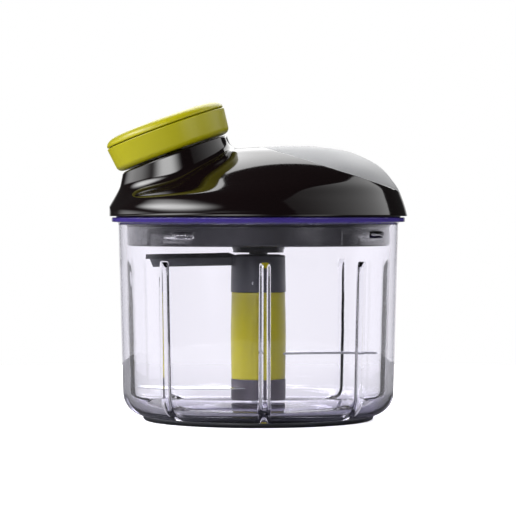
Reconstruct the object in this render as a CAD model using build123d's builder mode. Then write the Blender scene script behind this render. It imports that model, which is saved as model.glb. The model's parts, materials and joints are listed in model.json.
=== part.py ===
from build123d import *
from math import acos, cos, degrees, radians, sin, sqrt, tan
import os

os.makedirs("parts", exist_ok=True)

# The origin is on the bowl's axis, on the surface that the base ring stands on.
# The handle is on the side of -X, and the front of the chopper faces -Y.

# Clearances
fit_gap = 0.05  # radial play of a bearing or a sliding fit
run_gap = 0.3  # space between pieces that move past each other
overrun = 4  # how far a cutter runs past the surface that it cuts
notch_overrun = 1  # the same under the notch of the paddle arm

# Base ring
ring_height = 2.2
ring_overhang = 1.65  # beyond the flat of the bowl's underside
ring_width = 8
ring_edge = 0.9
tongue_height = 1.2
tongue_width = 4

# Bowl
bowl_radius = 65.1  # outside of the wall under the rim
bowl_height = 91.9
bowl_wall = 3.2
bowl_taper = 1.5  # degrees
bowl_floor = 3.8
bowl_corner = 10.5
flange_width = 3.2
flange_thickness = 2.2
flange_edge = 0.5
flange_root = 1.2
floor_boss_radius = 8
floor_boss_height = 2.2
rib_count = 8
rib_radius = 2.2
rib_drop = 19.8  # from the rim down to the top of a rib
rib_turn = -87.3  # direction of the first rib, degrees from +X
rib_foot = 3
lug_count = 4
lug_width = 9.3
lug_height = 2.4
lug_reach = 1.3
lug_drop = 7.8
lug_turn = -123  # direction of the first lug, degrees from +X

# Spindle in the bowl's floor
pin_radius = 3
pin_height = 24
pin_seat = 2.8
pin_tip = 1
washer_radius = 6.5
washer_thickness = 0.5

# Blade column
column_radius = 12.7
core_radius = 8.5
bush_radius = 6
bush_length = 12
core_bore = 3.6
pin_head_room = 1.5
lower_hub_height = 10.3
hub_edge = 0.4
upper_hub_height = 17.5
upper_hub_draft = 0.15
shoulder_drop = 0.45
shoulder_width = 3.2
sleeve_inset = 0.2
sleeve_crown = 0.15
socket_radius = 6.4
socket_depth = 10.9
socket_key_width = 2.4
socket_key_reach = 1.4
hub_pin_radius = 0.82
hub_pin_length = 5
hub_pin_offset = -2.2
hub_pin_drop = 13.2

# Blades
blade_gap = 3.88  # from the tip of a blade to the bowl's wall
blade_thickness = 1
blade_ring = 10.6
blade_lift = 6.2  # from the foot of the column to the underside of the lower blade
blade_step = 15.5
blade_bevel = 3
blade_bevel_share = 0.7
lead_root_share = (-0.07, -0.175)
lead_belly_share = (-0.56, -0.27)
lead_tip_share = (-0.985, -0.09)
point_share = (-1, -0.035)
tail_tip_share = (-0.97, 0.005)
tail_belly_share = (-0.58, -0.01)
tail_root_share = (-0.16, 0.12)

# Paddle arm
paddle_gap = 9.13  # from the tip of the arm to the bowl's wall
paddle_root = 8
paddle_height = 5.9
paddle_fall = 0.9
paddle_fold = 2.1
paddle_lead = 4
paddle_top_lead = 1.6
paddle_top_width = 3
paddle_back = 2.6
paddle_notch = 1.9
paddle_overhang = 2.0
paddle_rise = 0.9  # above the top of the column

# Lid base and its skirt
skirt_gap = 0.61  # from the foot of the skirt to the bowl's wall
skirt_depth = 13.1
skirt_wall = 2.5
skirt_edge = 1
plate_thickness = 2.5
seat_thickness = 2
seat_gap = 0.3
channel_gap = 0.4  # between the face of a lug and the floor of its channel
channel_play = 0.6  # at both ends of a lug
unlock_turn = 15  # degrees that the lid turns to come free
seal_drop = 1.5
seal_height = 2.8
seal_depth = 1.3
seal_reach = 0.55
post_radius = 9.5
post_height = 13.5
drive_bush_radius = 8

# Drive
collar_radius = 12.2
collar_height = 2.9
collar_step_height = 1.6
collar_step = 0.4
collar_gap = 0.9
journal_radius = 5.5
shaft_radius = 4.35
shaft_socket = 9
shaft_floor_gap = 0.8
fin_radius = 6
fin_width = 2.4
fin_gap = 1.4
square_width = 7.4
square_height = 5

# Cord spool
spool_gap = 1.3
cup_radius = 25
cup_wall = 1.6
cup_gap = 1.5
web_thickness = 1.8
drum_radius = 14
drum_width = 9.5
cord_radius = 1
top_flange_radius = 21
top_flange_thickness = 1.4
spool_journal_radius = 5
spool_journal_height = 3.2
screw_radius = 1.5
screw_hole_gap = 0.15
screw_head_radius = 3
screw_head_height = 2
screw_bite = 8.3
screw_floor = 3

# Return spring
spring_width = 9
spring_thickness = 0.5
spring_turns = 6

# Bridge over the spool
bridge_post_gap = 1  # from the spool to a post
bridge_turn = 90  # direction of the first post, degrees from +X
bridge_thickness = 2.5
bridge_width = 16
bridge_post_radius = 4
bridge_screw_length = 12

# Lid shell
shell_gap = 0.5
shell_overhang = 1  # beyond the flange of the bowl
shell_wall = 2.8
dome_height = 32.6
neck_tilt = 20  # degrees
neck_inset = 6.25  # from the rim of the shell to the neck's top edge
neck_rise = 29
neck_radius = 25.7
neck_foot_rise = 5.4
neck_foot_inset = 3.3  # from the rim of the shell to the neck's foot
neck_foot_radius = 31.5
neck_foot_depth = 29
neck_blend = 7
boss_radius = 3.6
boss_inset = 10.5  # from the inside of the skirt to the middle of a boss
boss_count = 4
boss_turn = 45  # direction of the first screw boss, degrees from +X
lid_screw_length = 14

# Level sections of the dome: height, reach to the left, to the right and to the front
dome_shares = (
    (0, 1, 1, 1),
    (0.09, 0.993, 0.992, 0.993),
    (0.19, 0.965, 0.978, 0.977),
    (0.32, 0.870, 0.956, 0.942),
    (0.41, 0.700, 0.935, 0.906),
    (0.50, 0.590, 0.905, 0.859),
    (0.61, 0.500, 0.864, 0.794),
    (0.76, 0.395, 0.781, 0.671),
    (0.87, 0.295, 0.677, 0.541),
    (0.95, 0.185, 0.554, 0.404),
    (0.988, -0.030, 0.420, 0.260),
    (1, -0.130, 0.400, 0.130),
)

# Palm grip, above a slanting plane through the dome
grip_depth = 1.4
grip_left_share = -0.05
grip_right_share = 1
grip_left_height_share = 1.02
grip_right_height_share = 0.305

# Cord guide in the neck
guide_flange_radius = 9
guide_flange_thickness = 1.2
guide_bore = 1.6
guide_lip = 4
guide_wall = 1
guide_mouth_radius = 4.7
guide_mouth_floor = 2.8
guide_mouth_depth = 2
cord_joint_depth = 8

# Pull handle
handle_gap = 0.8
handle_radius = 28.85
dish_height = 11.65
dish_draft = 1.4
dish_wall = 2.2
dish_floor = 2.4
dish_edge = 2.8
seam_height = 0.5
seam_depth = 1.65
cap_height = 3.9
cap_inset = 0.25
cap_flat = 21.6
cap_crown = 0.35
cap_wall = 2
cap_lip_width = 1.6
cap_lip_height = 3
spigot_radius = 4
spigot_tip = 2.4
spigot_length = 2.2
cord_hole = 1.4
knot_radius = 3.4
knot_height = 5
knot_edge = 1.2

# Heights of the stack, from the table up
bowl_bottom = ring_height
rim_top = bowl_bottom + bowl_height
flange_bottom = rim_top - flange_thickness
floor_top = bowl_bottom + bowl_floor
boss_top = floor_top + floor_boss_height
column_bottom = boss_top + washer_thickness
plate_bottom = rim_top - skirt_depth
plate_top = plate_bottom + plate_thickness
collar_top = plate_bottom - run_gap
collar_bottom = collar_top - collar_height
column_top = collar_bottom - collar_gap
upper_hub_bottom = column_top - upper_hub_height
lower_hub_top = column_bottom + lower_hub_height
core_top = column_top - socket_depth
lower_blade_z = column_bottom + blade_lift
upper_blade_z = lower_blade_z + blade_step
post_top = plate_top + post_height
web_bottom = post_top + spool_gap
drum_bottom = web_bottom + web_thickness
drum_top = drum_bottom + drum_width
spool_top = drum_top + top_flange_thickness
bridge_bottom = spool_top + run_gap
bridge_top = bridge_bottom + bridge_thickness
journal_top = spool_top + spool_journal_height
square_top = web_bottom + square_height
shell_bottom = rim_top + shell_gap


def wall_radius(height):
    """Outside radius of the tapered bowl wall at a height above the table."""
    return bowl_radius - (flange_bottom - height) * tan(radians(bowl_taper))


def inner_radius(height):
    """Inside radius of the tapered bowl wall at a height above the table."""
    return wall_radius(height) - bowl_wall


# Sizes that follow from what a piece fits into, goes round or overhangs
ring_radius = wall_radius(bowl_bottom) - bowl_corner + ring_overhang
blade_reach = inner_radius(lower_blade_z) - blade_gap
paddle_reach = inner_radius(column_top) - paddle_gap
skirt_radius = inner_radius(plate_bottom) - skirt_gap
boss_ring = skirt_radius - skirt_wall - boss_inset
bridge_span = cup_radius + bridge_post_gap + bridge_post_radius
shell_radius = bowl_radius + flange_width + shell_overhang
lean = radians(neck_tilt)
neck_reach = shell_radius - neck_radius * cos(lean) - neck_inset
neck_foot_reach = shell_radius - neck_foot_radius - neck_foot_inset


def section(*corners, plane=Plane.XZ):
    """Half section of a turned piece, from pairs of radius and height."""
    with BuildSketch(plane) as profile:
        with BuildLine():
            Polyline(*corners, close=True)
        make_face()
    return profile.sketch


def sector(inner, outer, low, high, turn):
    """Part of a ring about the upright axis that starts at +X and turns by some degrees."""
    with BuildPart() as piece:
        revolve(section((inner, low), (outer, low), (outer, high), (inner, high)), Axis.Z, turn)
    return piece.part


# Bowl: a tapered wall with a rim flange, ribs and bayonet lugs inside
lug_z = rim_top - lug_drop
lug_radius = inner_radius(lug_z)
lug_arc = degrees(lug_width / lug_radius)
rib_top = rim_top - rib_drop
lug = sector(lug_radius - lug_reach, lug_radius + bowl_wall / 2,
             lug_z - lug_height / 2, lug_z + lug_height / 2, lug_arc)

with BuildPart() as rib:
    with BuildLine() as rib_path:
        rib_foot_x = inner_radius(floor_top) - (bowl_corner - bowl_wall) - rib_foot
        FilletPolyline(
            (inner_radius(rib_top), 0, rib_top),
            (inner_radius(floor_top), 0, floor_top),
            (rib_foot_x, 0, floor_top),
            radius=bowl_corner - bowl_wall,
        )
    with BuildSketch(Plane(rib_path.line @ 0, z_dir=rib_path.line % 0)):
        Circle(rib_radius)
    sweep()

with BuildPart() as bowl:
    with BuildSketch(Plane.XZ) as bowl_section:
        with BuildLine():
            Polyline(
                (0, bowl_bottom),
                (wall_radius(bowl_bottom), bowl_bottom),
                (wall_radius(flange_bottom), flange_bottom),
                (bowl_radius + flange_width, flange_bottom),
                (bowl_radius + flange_width, rim_top),
                (0, rim_top),
                close=True,
            )
        make_face()
        rim_corners = bowl_section.vertices().group_by(Axis.X)[-1]
        floor_corner = bowl_section.vertices().group_by(Axis.Y)[0].sort_by(Axis.X)[-1]
        flange_corner = bowl_section.vertices().group_by(Axis.Y)[1].sort_by(Axis.X)[0]
        fillet(rim_corners, flange_edge)
        fillet(floor_corner, bowl_corner)
        fillet(flange_corner, flange_root)
    revolve(axis=Axis.Z)
    with BuildSketch(Plane.XZ) as hollow_section:
        with BuildLine():
            Polyline(
                (0, floor_top),
                (inner_radius(floor_top), floor_top),
                (inner_radius(rim_top + overrun), rim_top + overrun),
                (0, rim_top + overrun),
                close=True,
            )
        make_face()
        hollow_corner = hollow_section.vertices().group_by(Axis.Y)[0].sort_by(Axis.X)[-1]
        fillet(hollow_corner, bowl_corner - bowl_wall)
    revolve(axis=Axis.Z, mode=Mode.SUBTRACT)
    with PolarLocations(0, rib_count, start_angle=rib_turn):
        add(rib.part)
    with PolarLocations(0, lug_count, start_angle=lug_turn - lug_arc / 2):
        add(lug)
    with BuildSketch(Plane.XY.offset(floor_top)):
        Circle(floor_boss_radius)
    extrude(amount=floor_boss_height)
    with BuildSketch(Plane.XY.offset(bowl_bottom)):
        Circle(ring_radius - (ring_width - tongue_width) / 2)
        Circle(ring_radius - (ring_width + tongue_width) / 2, mode=Mode.SUBTRACT)
    extrude(amount=tongue_height, mode=Mode.SUBTRACT)
    with BuildSketch(Plane.XY.offset(boss_top - floor_boss_height - pin_seat)):
        Circle(pin_radius)
    extrude(amount=floor_boss_height + pin_seat, mode=Mode.SUBTRACT)

# Base ring: soft foot with a tongue that sits in the bowl's groove
with BuildPart() as base_ring:
    with BuildSketch():
        Circle(ring_radius)
        Circle(ring_radius - ring_width, mode=Mode.SUBTRACT)
    extrude(amount=ring_height)
    fillet(base_ring.edges().group_by(Axis.Z)[0], ring_edge)
    with BuildSketch(Plane.XY.offset(ring_height)):
        Circle(ring_radius - (ring_width - tongue_width) / 2)
        Circle(ring_radius - (ring_width + tongue_width) / 2, mode=Mode.SUBTRACT)
    extrude(amount=tongue_height)

# Spindle pin and thrust washer
with BuildPart() as spindle_pin:
    with BuildSketch(Plane.XY.offset(floor_top - pin_seat)):
        Circle(pin_radius)
    extrude(amount=pin_seat + pin_height)
    chamfer(spindle_pin.edges().group_by(Axis.Z)[-1], pin_tip)

with BuildPart() as thrust_washer:
    with BuildSketch(Plane.XY.offset(boss_top)):
        Circle(washer_radius)
        Circle(pin_radius + fit_gap, mode=Mode.SUBTRACT)
    extrude(amount=washer_thickness)

# Cross pin that keeps the upper hub on the core
with BuildPart() as hub_pin:
    with BuildSketch(Plane.XZ.offset(column_radius - upper_hub_draft)):
        with Locations((hub_pin_offset, column_top - hub_pin_drop)):
            Circle(hub_pin_radius)
    extrude(amount=-hub_pin_length)

# Core of the column: a tube that turns on the pin and is closed under the drive socket
pin_top = floor_top + pin_height
bush_top = column_bottom + bush_length

with BuildPart() as column_core:
    revolve(section(
        (bush_radius, column_bottom),
        (core_radius, column_bottom),
        (core_radius, core_top),
        (0, core_top),
        (0, pin_top + pin_head_room),
        (core_bore, pin_top + pin_head_room),
        (core_bore, bush_top),
        (bush_radius, bush_top),
    ), Axis.Z)
    add(hub_pin.part, mode=Mode.SUBTRACT)

with BuildPart() as column_bush:
    with BuildSketch(Plane.XY.offset(column_bottom)):
        Circle(bush_radius)
        Circle(pin_radius + fit_gap, mode=Mode.SUBTRACT)
    extrude(amount=bush_length)


def blade(height, turn):
    """Steel blade with a ring round the core, ground on its leading edge."""
    plane = Plane.XY.offset(height).rotated((0, 0, turn))
    reach = [
        (x * blade_reach, y * blade_reach)
        for x, y in (lead_root_share, lead_belly_share, lead_tip_share, point_share,
                     tail_tip_share, tail_belly_share, tail_root_share)
    ]
    with BuildPart() as plate:
        with BuildSketch(plane):
            with BuildLine():
                lead = ThreePointArc(reach[0], reach[1], reach[2])
                ThreePointArc(reach[2], reach[3], reach[4])
                ThreePointArc(reach[4], reach[5], reach[6])
                Line(reach[6], reach[0])
            make_face()
            Circle(blade_ring)
            Circle(core_radius, mode=Mode.SUBTRACT)
        extrude(amount=blade_thickness)
        edge_middle = plane.from_local_coords(Vector(*reach[1], blade_thickness))
        edge = plate.edges().sort_by_distance(edge_middle)[0]
        top = plate.faces().sort_by(Axis.Z)[-1]
        chamfer(edge, blade_bevel, blade_bevel_share * blade_thickness, reference=top)
    return plate


lower_blade = blade(lower_blade_z, 0)
upper_blade = blade(upper_blade_z, 180)

# Paddle arm: a folded bar whose tip is notched under its top flange
paddle_top = column_top + paddle_rise


def paddle_section(x, fall):
    """Cross-section of the arm at a distance from the axis."""
    top = paddle_top - fall
    plane = Plane((x, 0, 0), x_dir=(0, 1, 0), z_dir=(1, 0, 0))
    return section(
        (-paddle_lead, top - paddle_height),
        (-paddle_lead, top - paddle_fold),
        (-paddle_top_lead, top),
        (paddle_top_width - paddle_top_lead, top),
        (paddle_back, top - paddle_height),
        plane=plane,
    )


with BuildPart() as paddle:
    loft([paddle_section(-paddle_root, 0), paddle_section(-paddle_reach, paddle_fall)])
    tip_top = paddle_top - paddle_fall
    notch_bottom = tip_top - paddle_height - notch_overrun
    with BuildSketch(Plane.XZ):
        with BuildLine():
            Polyline(
                (-paddle_reach - overrun, tip_top - paddle_fold),
                (-paddle_reach + paddle_overhang, tip_top - paddle_fold),
                (-paddle_reach + paddle_overhang + paddle_notch, notch_bottom),
                (-paddle_reach - overrun, notch_bottom),
                close=True,
            )
        make_face()
    extrude(amount=paddle_lead + overrun, both=True, mode=Mode.SUBTRACT)
    with BuildSketch(Plane.XZ):
        with BuildLine():
            Polyline(
                (-paddle_root, paddle_top + overrun),
                (-paddle_root, paddle_top - paddle_fold),
                (-column_radius - shoulder_width / 2, paddle_top + fit_gap),
                (-column_radius - shoulder_width / 2, paddle_top + overrun),
                close=True,
            )
        make_face()
    extrude(amount=paddle_lead + overrun, both=True, mode=Mode.SUBTRACT)

# Hubs and sleeve stacked on the core
with BuildPart() as lower_hub:
    revolve(section(
        (core_radius, column_bottom),
        (column_radius - hub_edge, column_bottom),
        (column_radius, column_bottom + hub_edge),
        (column_radius, lower_hub_top),
        (core_radius, lower_hub_top),
    ), Axis.Z)
    add(lower_blade.part, mode=Mode.SUBTRACT)

with BuildPart() as column_sleeve:
    with BuildSketch(Plane.XZ):
        sleeve_end = column_radius - sleeve_inset
        with BuildLine():
            ThreePointArc(
                (sleeve_end, lower_hub_top),
                (column_radius + sleeve_crown, (lower_hub_top + upper_hub_bottom) / 2),
                (sleeve_end, upper_hub_bottom),
            )
            Polyline(
                (sleeve_end, upper_hub_bottom),
                (core_radius, upper_hub_bottom),
                (core_radius, lower_hub_top),
                (sleeve_end, lower_hub_top),
            )
        make_face()
    revolve(axis=Axis.Z)
    add(upper_blade.part, mode=Mode.SUBTRACT)

with BuildPart() as upper_hub:
    revolve(section(
        (core_radius, upper_hub_bottom),
        (column_radius + upper_hub_draft, upper_hub_bottom),
        (column_radius - upper_hub_draft, column_top - 2 * shoulder_drop),
        (column_radius - shoulder_drop, column_top - shoulder_drop),
        (column_radius - shoulder_width, column_top),
        (socket_radius, column_top),
        (socket_radius, core_top),
        (core_radius, core_top),
    ), Axis.Z)
    with BuildSketch(Plane.XY.offset(core_top)):
        Rectangle(socket_key_width, 2 * socket_radius + socket_key_reach)
        Circle(socket_radius + socket_key_reach / 2, mode=Mode.INTERSECT)
        Circle(socket_radius - socket_key_reach, mode=Mode.SUBTRACT)
    extrude(amount=socket_depth - shoulder_width)
    add(paddle.part, mode=Mode.SUBTRACT)
    add(hub_pin.part, mode=Mode.SUBTRACT)

# Soft seal in a groove of the skirt
seal_top = rim_top - seal_drop
with BuildPart() as lid_seal:
    with BuildSketch(Plane.XY.offset(seal_top - seal_height)):
        Circle(skirt_radius + seal_reach)
        Circle(skirt_radius - seal_depth + fit_gap, mode=Mode.SUBTRACT)
    extrude(amount=seal_height)
    chamfer(lid_seal.edges().filter_by(GeomType.CIRCLE).group_by(SortBy.RADIUS)[-1], seal_reach / 2)

# Lid base: plate, skirt with L-shaped channels, bearing post and bridge posts
channel_arc = lug_arc + degrees(2 * channel_play / lug_radius)
channel_low = lug_z - lug_height / 2 - run_gap
channel_high = lug_z + lug_height / 2 + run_gap
channel_floor = lug_radius - lug_reach - channel_gap
seat_radius = shell_radius - shell_wall - seat_gap
entry = sector(channel_floor, skirt_radius + overrun, plate_bottom - overrun, channel_high, channel_arc)
run_out = sector(channel_floor, skirt_radius + overrun, channel_low, channel_high,
                 channel_arc + unlock_turn)
boss_spots = PolarLocations(boss_ring, boss_count, start_angle=boss_turn)
bridge_spots = PolarLocations(bridge_span, 2, start_angle=bridge_turn)

with BuildPart() as lid_base:
    revolve(section(
        (drive_bush_radius, plate_bottom),
        (skirt_radius, plate_bottom),
        (skirt_radius, rim_top),
        (seat_radius, rim_top),
        (seat_radius, rim_top + seat_thickness),
        (skirt_radius - skirt_wall, rim_top + seat_thickness),
        (skirt_radius - skirt_wall, plate_top),
        (post_radius, plate_top),
        (post_radius, post_top),
        (drive_bush_radius, post_top),
    ), Axis.Z)
    fillet(lid_base.edges().group_by(Axis.Z)[0].sort_by(SortBy.RADIUS)[-1], skirt_edge)
    with BuildSketch(Plane.XY.offset(seal_top - seal_height)):
        Circle(skirt_radius + overrun)
        Circle(skirt_radius - seal_depth, mode=Mode.SUBTRACT)
    extrude(amount=seal_height, mode=Mode.SUBTRACT)
    with PolarLocations(0, lug_count, start_angle=lug_turn - channel_arc / 2 - unlock_turn):
        add(entry, mode=Mode.SUBTRACT)
        add(run_out, mode=Mode.SUBTRACT)
    with BuildSketch(Plane.XY.offset(plate_top)):
        with bridge_spots:
            Circle(bridge_post_radius)
    extrude(amount=bridge_bottom - plate_top)
    with BuildSketch(Plane.XY.offset(bridge_bottom)):
        with bridge_spots:
            Circle(screw_radius)
    extrude(amount=-bridge_screw_length, mode=Mode.SUBTRACT)
    with BuildSketch(Plane.XY.offset(plate_bottom)):
        with boss_spots:
            Circle(screw_radius + screw_hole_gap)
    extrude(amount=plate_thickness, mode=Mode.SUBTRACT)
    with BuildSketch(Plane.XY.offset(plate_bottom)):
        with boss_spots:
            Circle(screw_head_radius + screw_hole_gap)
    extrude(amount=plate_thickness / 2, mode=Mode.SUBTRACT)

with BuildPart() as drive_bush:
    with BuildSketch(Plane.XY.offset(plate_bottom)):
        Circle(drive_bush_radius)
        Circle(journal_radius + fit_gap, mode=Mode.SUBTRACT)
    extrude(amount=post_top - plate_bottom)

# Drive collar, its journal and the square that turns the spool
shaft_top = collar_top + shaft_socket
with BuildPart() as drive_collar:
    revolve(section(
        (0, collar_bottom),
        (collar_radius - collar_step, collar_bottom),
        (collar_radius - collar_step, collar_bottom + collar_step_height),
        (collar_radius, collar_bottom + collar_step_height),
        (collar_radius, collar_top),
        (journal_radius, collar_top),
        (journal_radius, web_bottom),
        (0, web_bottom),
    ), Axis.Z)
    with BuildSketch(Plane.XY.offset(web_bottom)):
        Rectangle(square_width, square_width)
    extrude(amount=square_height)
    with BuildSketch(Plane.XY.offset(collar_bottom)):
        Circle(shaft_radius)
    extrude(amount=shaft_top - collar_bottom, mode=Mode.SUBTRACT)
    with BuildSketch(Plane.XY.offset(square_top)):
        Circle(screw_radius)
    extrude(amount=-screw_bite, mode=Mode.SUBTRACT)

shaft_bottom = core_top + shaft_floor_gap
with BuildPart() as drive_shaft:
    with BuildSketch(Plane.XY.offset(shaft_bottom)):
        Circle(shaft_radius)
    extrude(amount=shaft_top - shaft_bottom)
    with BuildSketch(Plane.XY.offset(shaft_bottom)):
        Rectangle(2 * fin_radius, fin_width)
    extrude(amount=column_top - fin_gap - shaft_bottom)

# Spool: spring cup below, cord drum above, journal on top
screw_seat = square_top + screw_floor
with BuildPart() as cord_spool:
    revolve(section(
        (screw_radius + screw_hole_gap, web_bottom),
        (cup_radius - cup_wall, web_bottom),
        (cup_radius - cup_wall, plate_top + cup_gap),
        (cup_radius, plate_top + cup_gap),
        (cup_radius, drum_bottom),
        (drum_radius, drum_bottom),
        (drum_radius, drum_top),
        (top_flange_radius, drum_top),
        (top_flange_radius, spool_top),
        (spool_journal_radius, spool_top),
        (spool_journal_radius, journal_top),
        (screw_head_radius + screw_hole_gap, journal_top),
        (screw_head_radius + screw_hole_gap, screw_seat),
        (screw_radius + screw_hole_gap, screw_seat),
    ), Axis.Z)
    with BuildSketch(Plane.XY.offset(web_bottom)):
        Rectangle(square_width, square_width)
    extrude(amount=square_height, mode=Mode.SUBTRACT)

with BuildPart() as spool_screw:
    with BuildSketch(Plane.XY.offset(screw_seat)):
        Circle(screw_head_radius)
    extrude(amount=screw_head_height)
    with BuildSketch(Plane.XY.offset(square_top - screw_bite)):
        Circle(screw_radius)
    extrude(amount=screw_seat - square_top + screw_bite)

with BuildPart() as cord_winding:
    with BuildSketch(Plane.XY.offset(drum_bottom)):
        Circle(drum_radius + 2 * cord_radius)
        Circle(drum_radius, mode=Mode.SUBTRACT)
    extrude(amount=drum_width)

# Return spring: a flat spiral strip drawn with half circles about two centres
spring_inside = post_radius + run_gap + spring_thickness / 2
spring_outside = cup_radius - cup_wall - run_gap - spring_thickness / 2
spring_pitch = (spring_outside - spring_inside) / spring_turns


def spiral_arcs(shift):
    """Half circles of the spiral, moved outwards by half the strip's thickness."""
    arcs = []
    for half in range(2 * spring_turns):
        side = 1 if half % 2 == 0 else -1
        radius = spring_inside + (2 * half + 1) * spring_pitch / 4 + shift
        centre = -side * spring_pitch / 4
        arcs.append(ThreePointArc(
            (centre + side * radius, 0),
            (centre, side * radius),
            (centre - side * radius, 0),
            mode=Mode.PRIVATE,
        ))
    return arcs


with BuildPart() as return_spring:
    with BuildSketch(Plane.XY.offset((plate_top + web_bottom - spring_width) / 2)):
        with BuildLine():
            add(spiral_arcs(spring_thickness / 2))
            add(spiral_arcs(-spring_thickness / 2))
            spiral_start = spring_inside
            spiral_end = spring_inside + spring_turns * spring_pitch
            Line((spiral_start - spring_thickness / 2, 0), (spiral_start + spring_thickness / 2, 0))
            Line((spiral_end - spring_thickness / 2, 0), (spiral_end + spring_thickness / 2, 0))
        make_face()
    extrude(amount=spring_width)

# Bridge that carries the top of the spool
with BuildPart() as spool_bridge:
    with BuildSketch(Plane.XY.offset(bridge_bottom)):
        SlotCenterToCenter(2 * bridge_span, bridge_width, rotation=bridge_turn)
        Circle(spool_journal_radius + fit_gap, mode=Mode.SUBTRACT)
        with bridge_spots:
            Circle(screw_radius + screw_hole_gap, mode=Mode.SUBTRACT)
    extrude(amount=bridge_thickness)

with BuildPart() as bridge_screws:
    with BuildSketch(Plane.XY.offset(bridge_bottom - bridge_screw_length)):
        with bridge_spots:
            Circle(screw_radius)
    extrude(amount=bridge_screw_length + bridge_thickness)
    with BuildSketch(Plane.XY.offset(bridge_top)):
        with bridge_spots:
            Circle(screw_head_radius)
    extrude(amount=screw_head_height)

with BuildPart() as lid_screws:
    with BuildSketch(Plane.XY.offset(plate_bottom + plate_thickness / 2 - screw_head_height / 2)):
        with boss_spots:
            Circle(screw_head_radius)
    extrude(amount=screw_head_height / 2)
    with BuildSketch(Plane.XY.offset(plate_bottom + plate_thickness / 2)):
        with boss_spots:
            Circle(screw_radius)
    extrude(amount=lid_screw_length)

# Lid shell: a lopsided dome with a tilted neck that the handle seats on
neck_top = Plane(
    (-neck_reach, 0, shell_bottom + neck_rise),
    x_dir=(cos(lean), 0, sin(lean)),
    z_dir=(-sin(lean), 0, cos(lean)),
)
neck_section = Plane(neck_top.origin, x_dir=neck_top.x_dir, z_dir=(0, -1, 0))
pull_axis = Axis(neck_top.origin, neck_top.z_dir)


def dome_form(inset):
    """Dome drawn in by a wall, lofted through its level sections."""
    with BuildPart() as form:
        for height, left, right, front in dome_shares:
            with BuildSketch(Plane.XY.offset(shell_bottom + height * (dome_height - inset))):
                with Locations(((right - left) * shell_radius / 2, 0)):
                    Ellipse((right + left) * shell_radius / 2 - inset, front * shell_radius - inset)
        loft()
    return form.part


def neck_form(inset):
    """Neck drawn in by a wall, from its foot inside the dome to its tilted top."""
    with BuildPart() as form:
        with BuildSketch(Plane.XY.offset(shell_bottom + neck_foot_rise)):
            with Locations((-neck_foot_reach, 0)):
                Ellipse(neck_foot_radius - inset, neck_foot_depth - inset)
        with BuildSketch(neck_top.offset(-inset)):
            Circle(neck_radius - inset)
        loft()
    return form.part


dome = dome_form(0)
neck = neck_form(0)
with BuildPart() as lid_outside:
    add(dome)
    add(neck)
    fillet(new_edges(dome, neck, combined=lid_outside.part), neck_blend)

with BuildPart() as palm_grip:
    add(dome)
    add(dome_form(grip_depth), mode=Mode.SUBTRACT)
    with BuildSketch(Plane.XZ):
        with BuildLine():
            Polyline(
                (grip_left_share * shell_radius,
                 shell_bottom + grip_left_height_share * dome_height),
                (grip_right_share * shell_radius,
                 shell_bottom + grip_right_height_share * dome_height),
                (grip_right_share * shell_radius, shell_bottom + dome_height + overrun),
                (grip_left_share * shell_radius, shell_bottom + dome_height + overrun),
                close=True,
            )
        make_face()
    extrude(amount=shell_radius, both=True, mode=Mode.INTERSECT)

with BuildPart() as lid_envelope:
    add(lid_outside.part)
    with BuildSketch(Plane.XY.offset(plate_top)):
        Circle(skirt_radius - skirt_wall)
    extrude(amount=shell_bottom - plate_top)

with BuildPart() as screw_bosses:
    with BuildSketch(Plane.XY.offset(plate_top)):
        with boss_spots:
            Circle(boss_radius)
            Circle(screw_radius, mode=Mode.SUBTRACT)
    extrude(amount=shell_bottom - plate_top + dome_height)
    add(lid_envelope.part, mode=Mode.INTERSECT)

guide_hole = guide_bore + guide_lip + guide_wall
with BuildPart() as lid_shell:
    add(lid_outside.part)
    add(dome_form(shell_wall), mode=Mode.SUBTRACT)
    add(neck_form(shell_wall), mode=Mode.SUBTRACT)
    add(screw_bosses.part)
    add(palm_grip.part, mode=Mode.SUBTRACT)
    with BuildSketch(neck_top):
        Circle(guide_hole)
    extrude(amount=-shell_wall - overrun, mode=Mode.SUBTRACT)
    with BuildSketch(neck_top):
        Circle(guide_flange_radius)
    extrude(amount=-guide_flange_thickness, mode=Mode.SUBTRACT)

# Route of the cord: off the drum, round the lip of the guide and up through the neck
winding_radius = drum_radius + cord_radius
lead_z = (drum_bottom + drum_top) / 2
corner_depth = (neck_top.origin.Z - lead_z) / cos(lean)
corner = neck_top.origin - neck_top.z_dir * corner_depth
off_angle = acos(winding_radius / abs(corner.X))
tangent_point = Vector(-winding_radius * cos(off_angle), winding_radius * sin(off_angle), lead_z)
lead_direction = (corner - tangent_point).normalized()
lead_skip = sqrt((drum_radius + 2 * cord_radius + run_gap) ** 2 - drum_radius ** 2)
lead_start = tangent_point + lead_direction * lead_skip
bend_radius = guide_bore + guide_lip
bend_turn = radians(lead_direction.get_angle(neck_top.z_dir))
lip_depth = corner_depth - bend_radius * tan(bend_turn / 2)
print("cord bend radius", round(bend_radius, 2), "turn", round(degrees(bend_turn), 1))

with BuildPart() as cord_guide:
    with BuildSketch(neck_section):
        with BuildLine():
            Polyline(
                (guide_bore, -lip_depth),
                (guide_bore, -guide_mouth_depth),
                (guide_mouth_floor, -guide_mouth_depth),
                (guide_mouth_radius, 0),
                (guide_flange_radius, 0),
                (guide_flange_radius, -guide_flange_thickness),
                (guide_hole, -guide_flange_thickness),
                (guide_hole, -lip_depth - guide_lip),
                (guide_bore + guide_lip, -lip_depth - guide_lip),
            )
            RadiusArc((guide_bore + guide_lip, -lip_depth - guide_lip), (guide_bore, -lip_depth),
                      guide_lip)
        make_face()
    revolve(axis=pull_axis)

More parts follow.
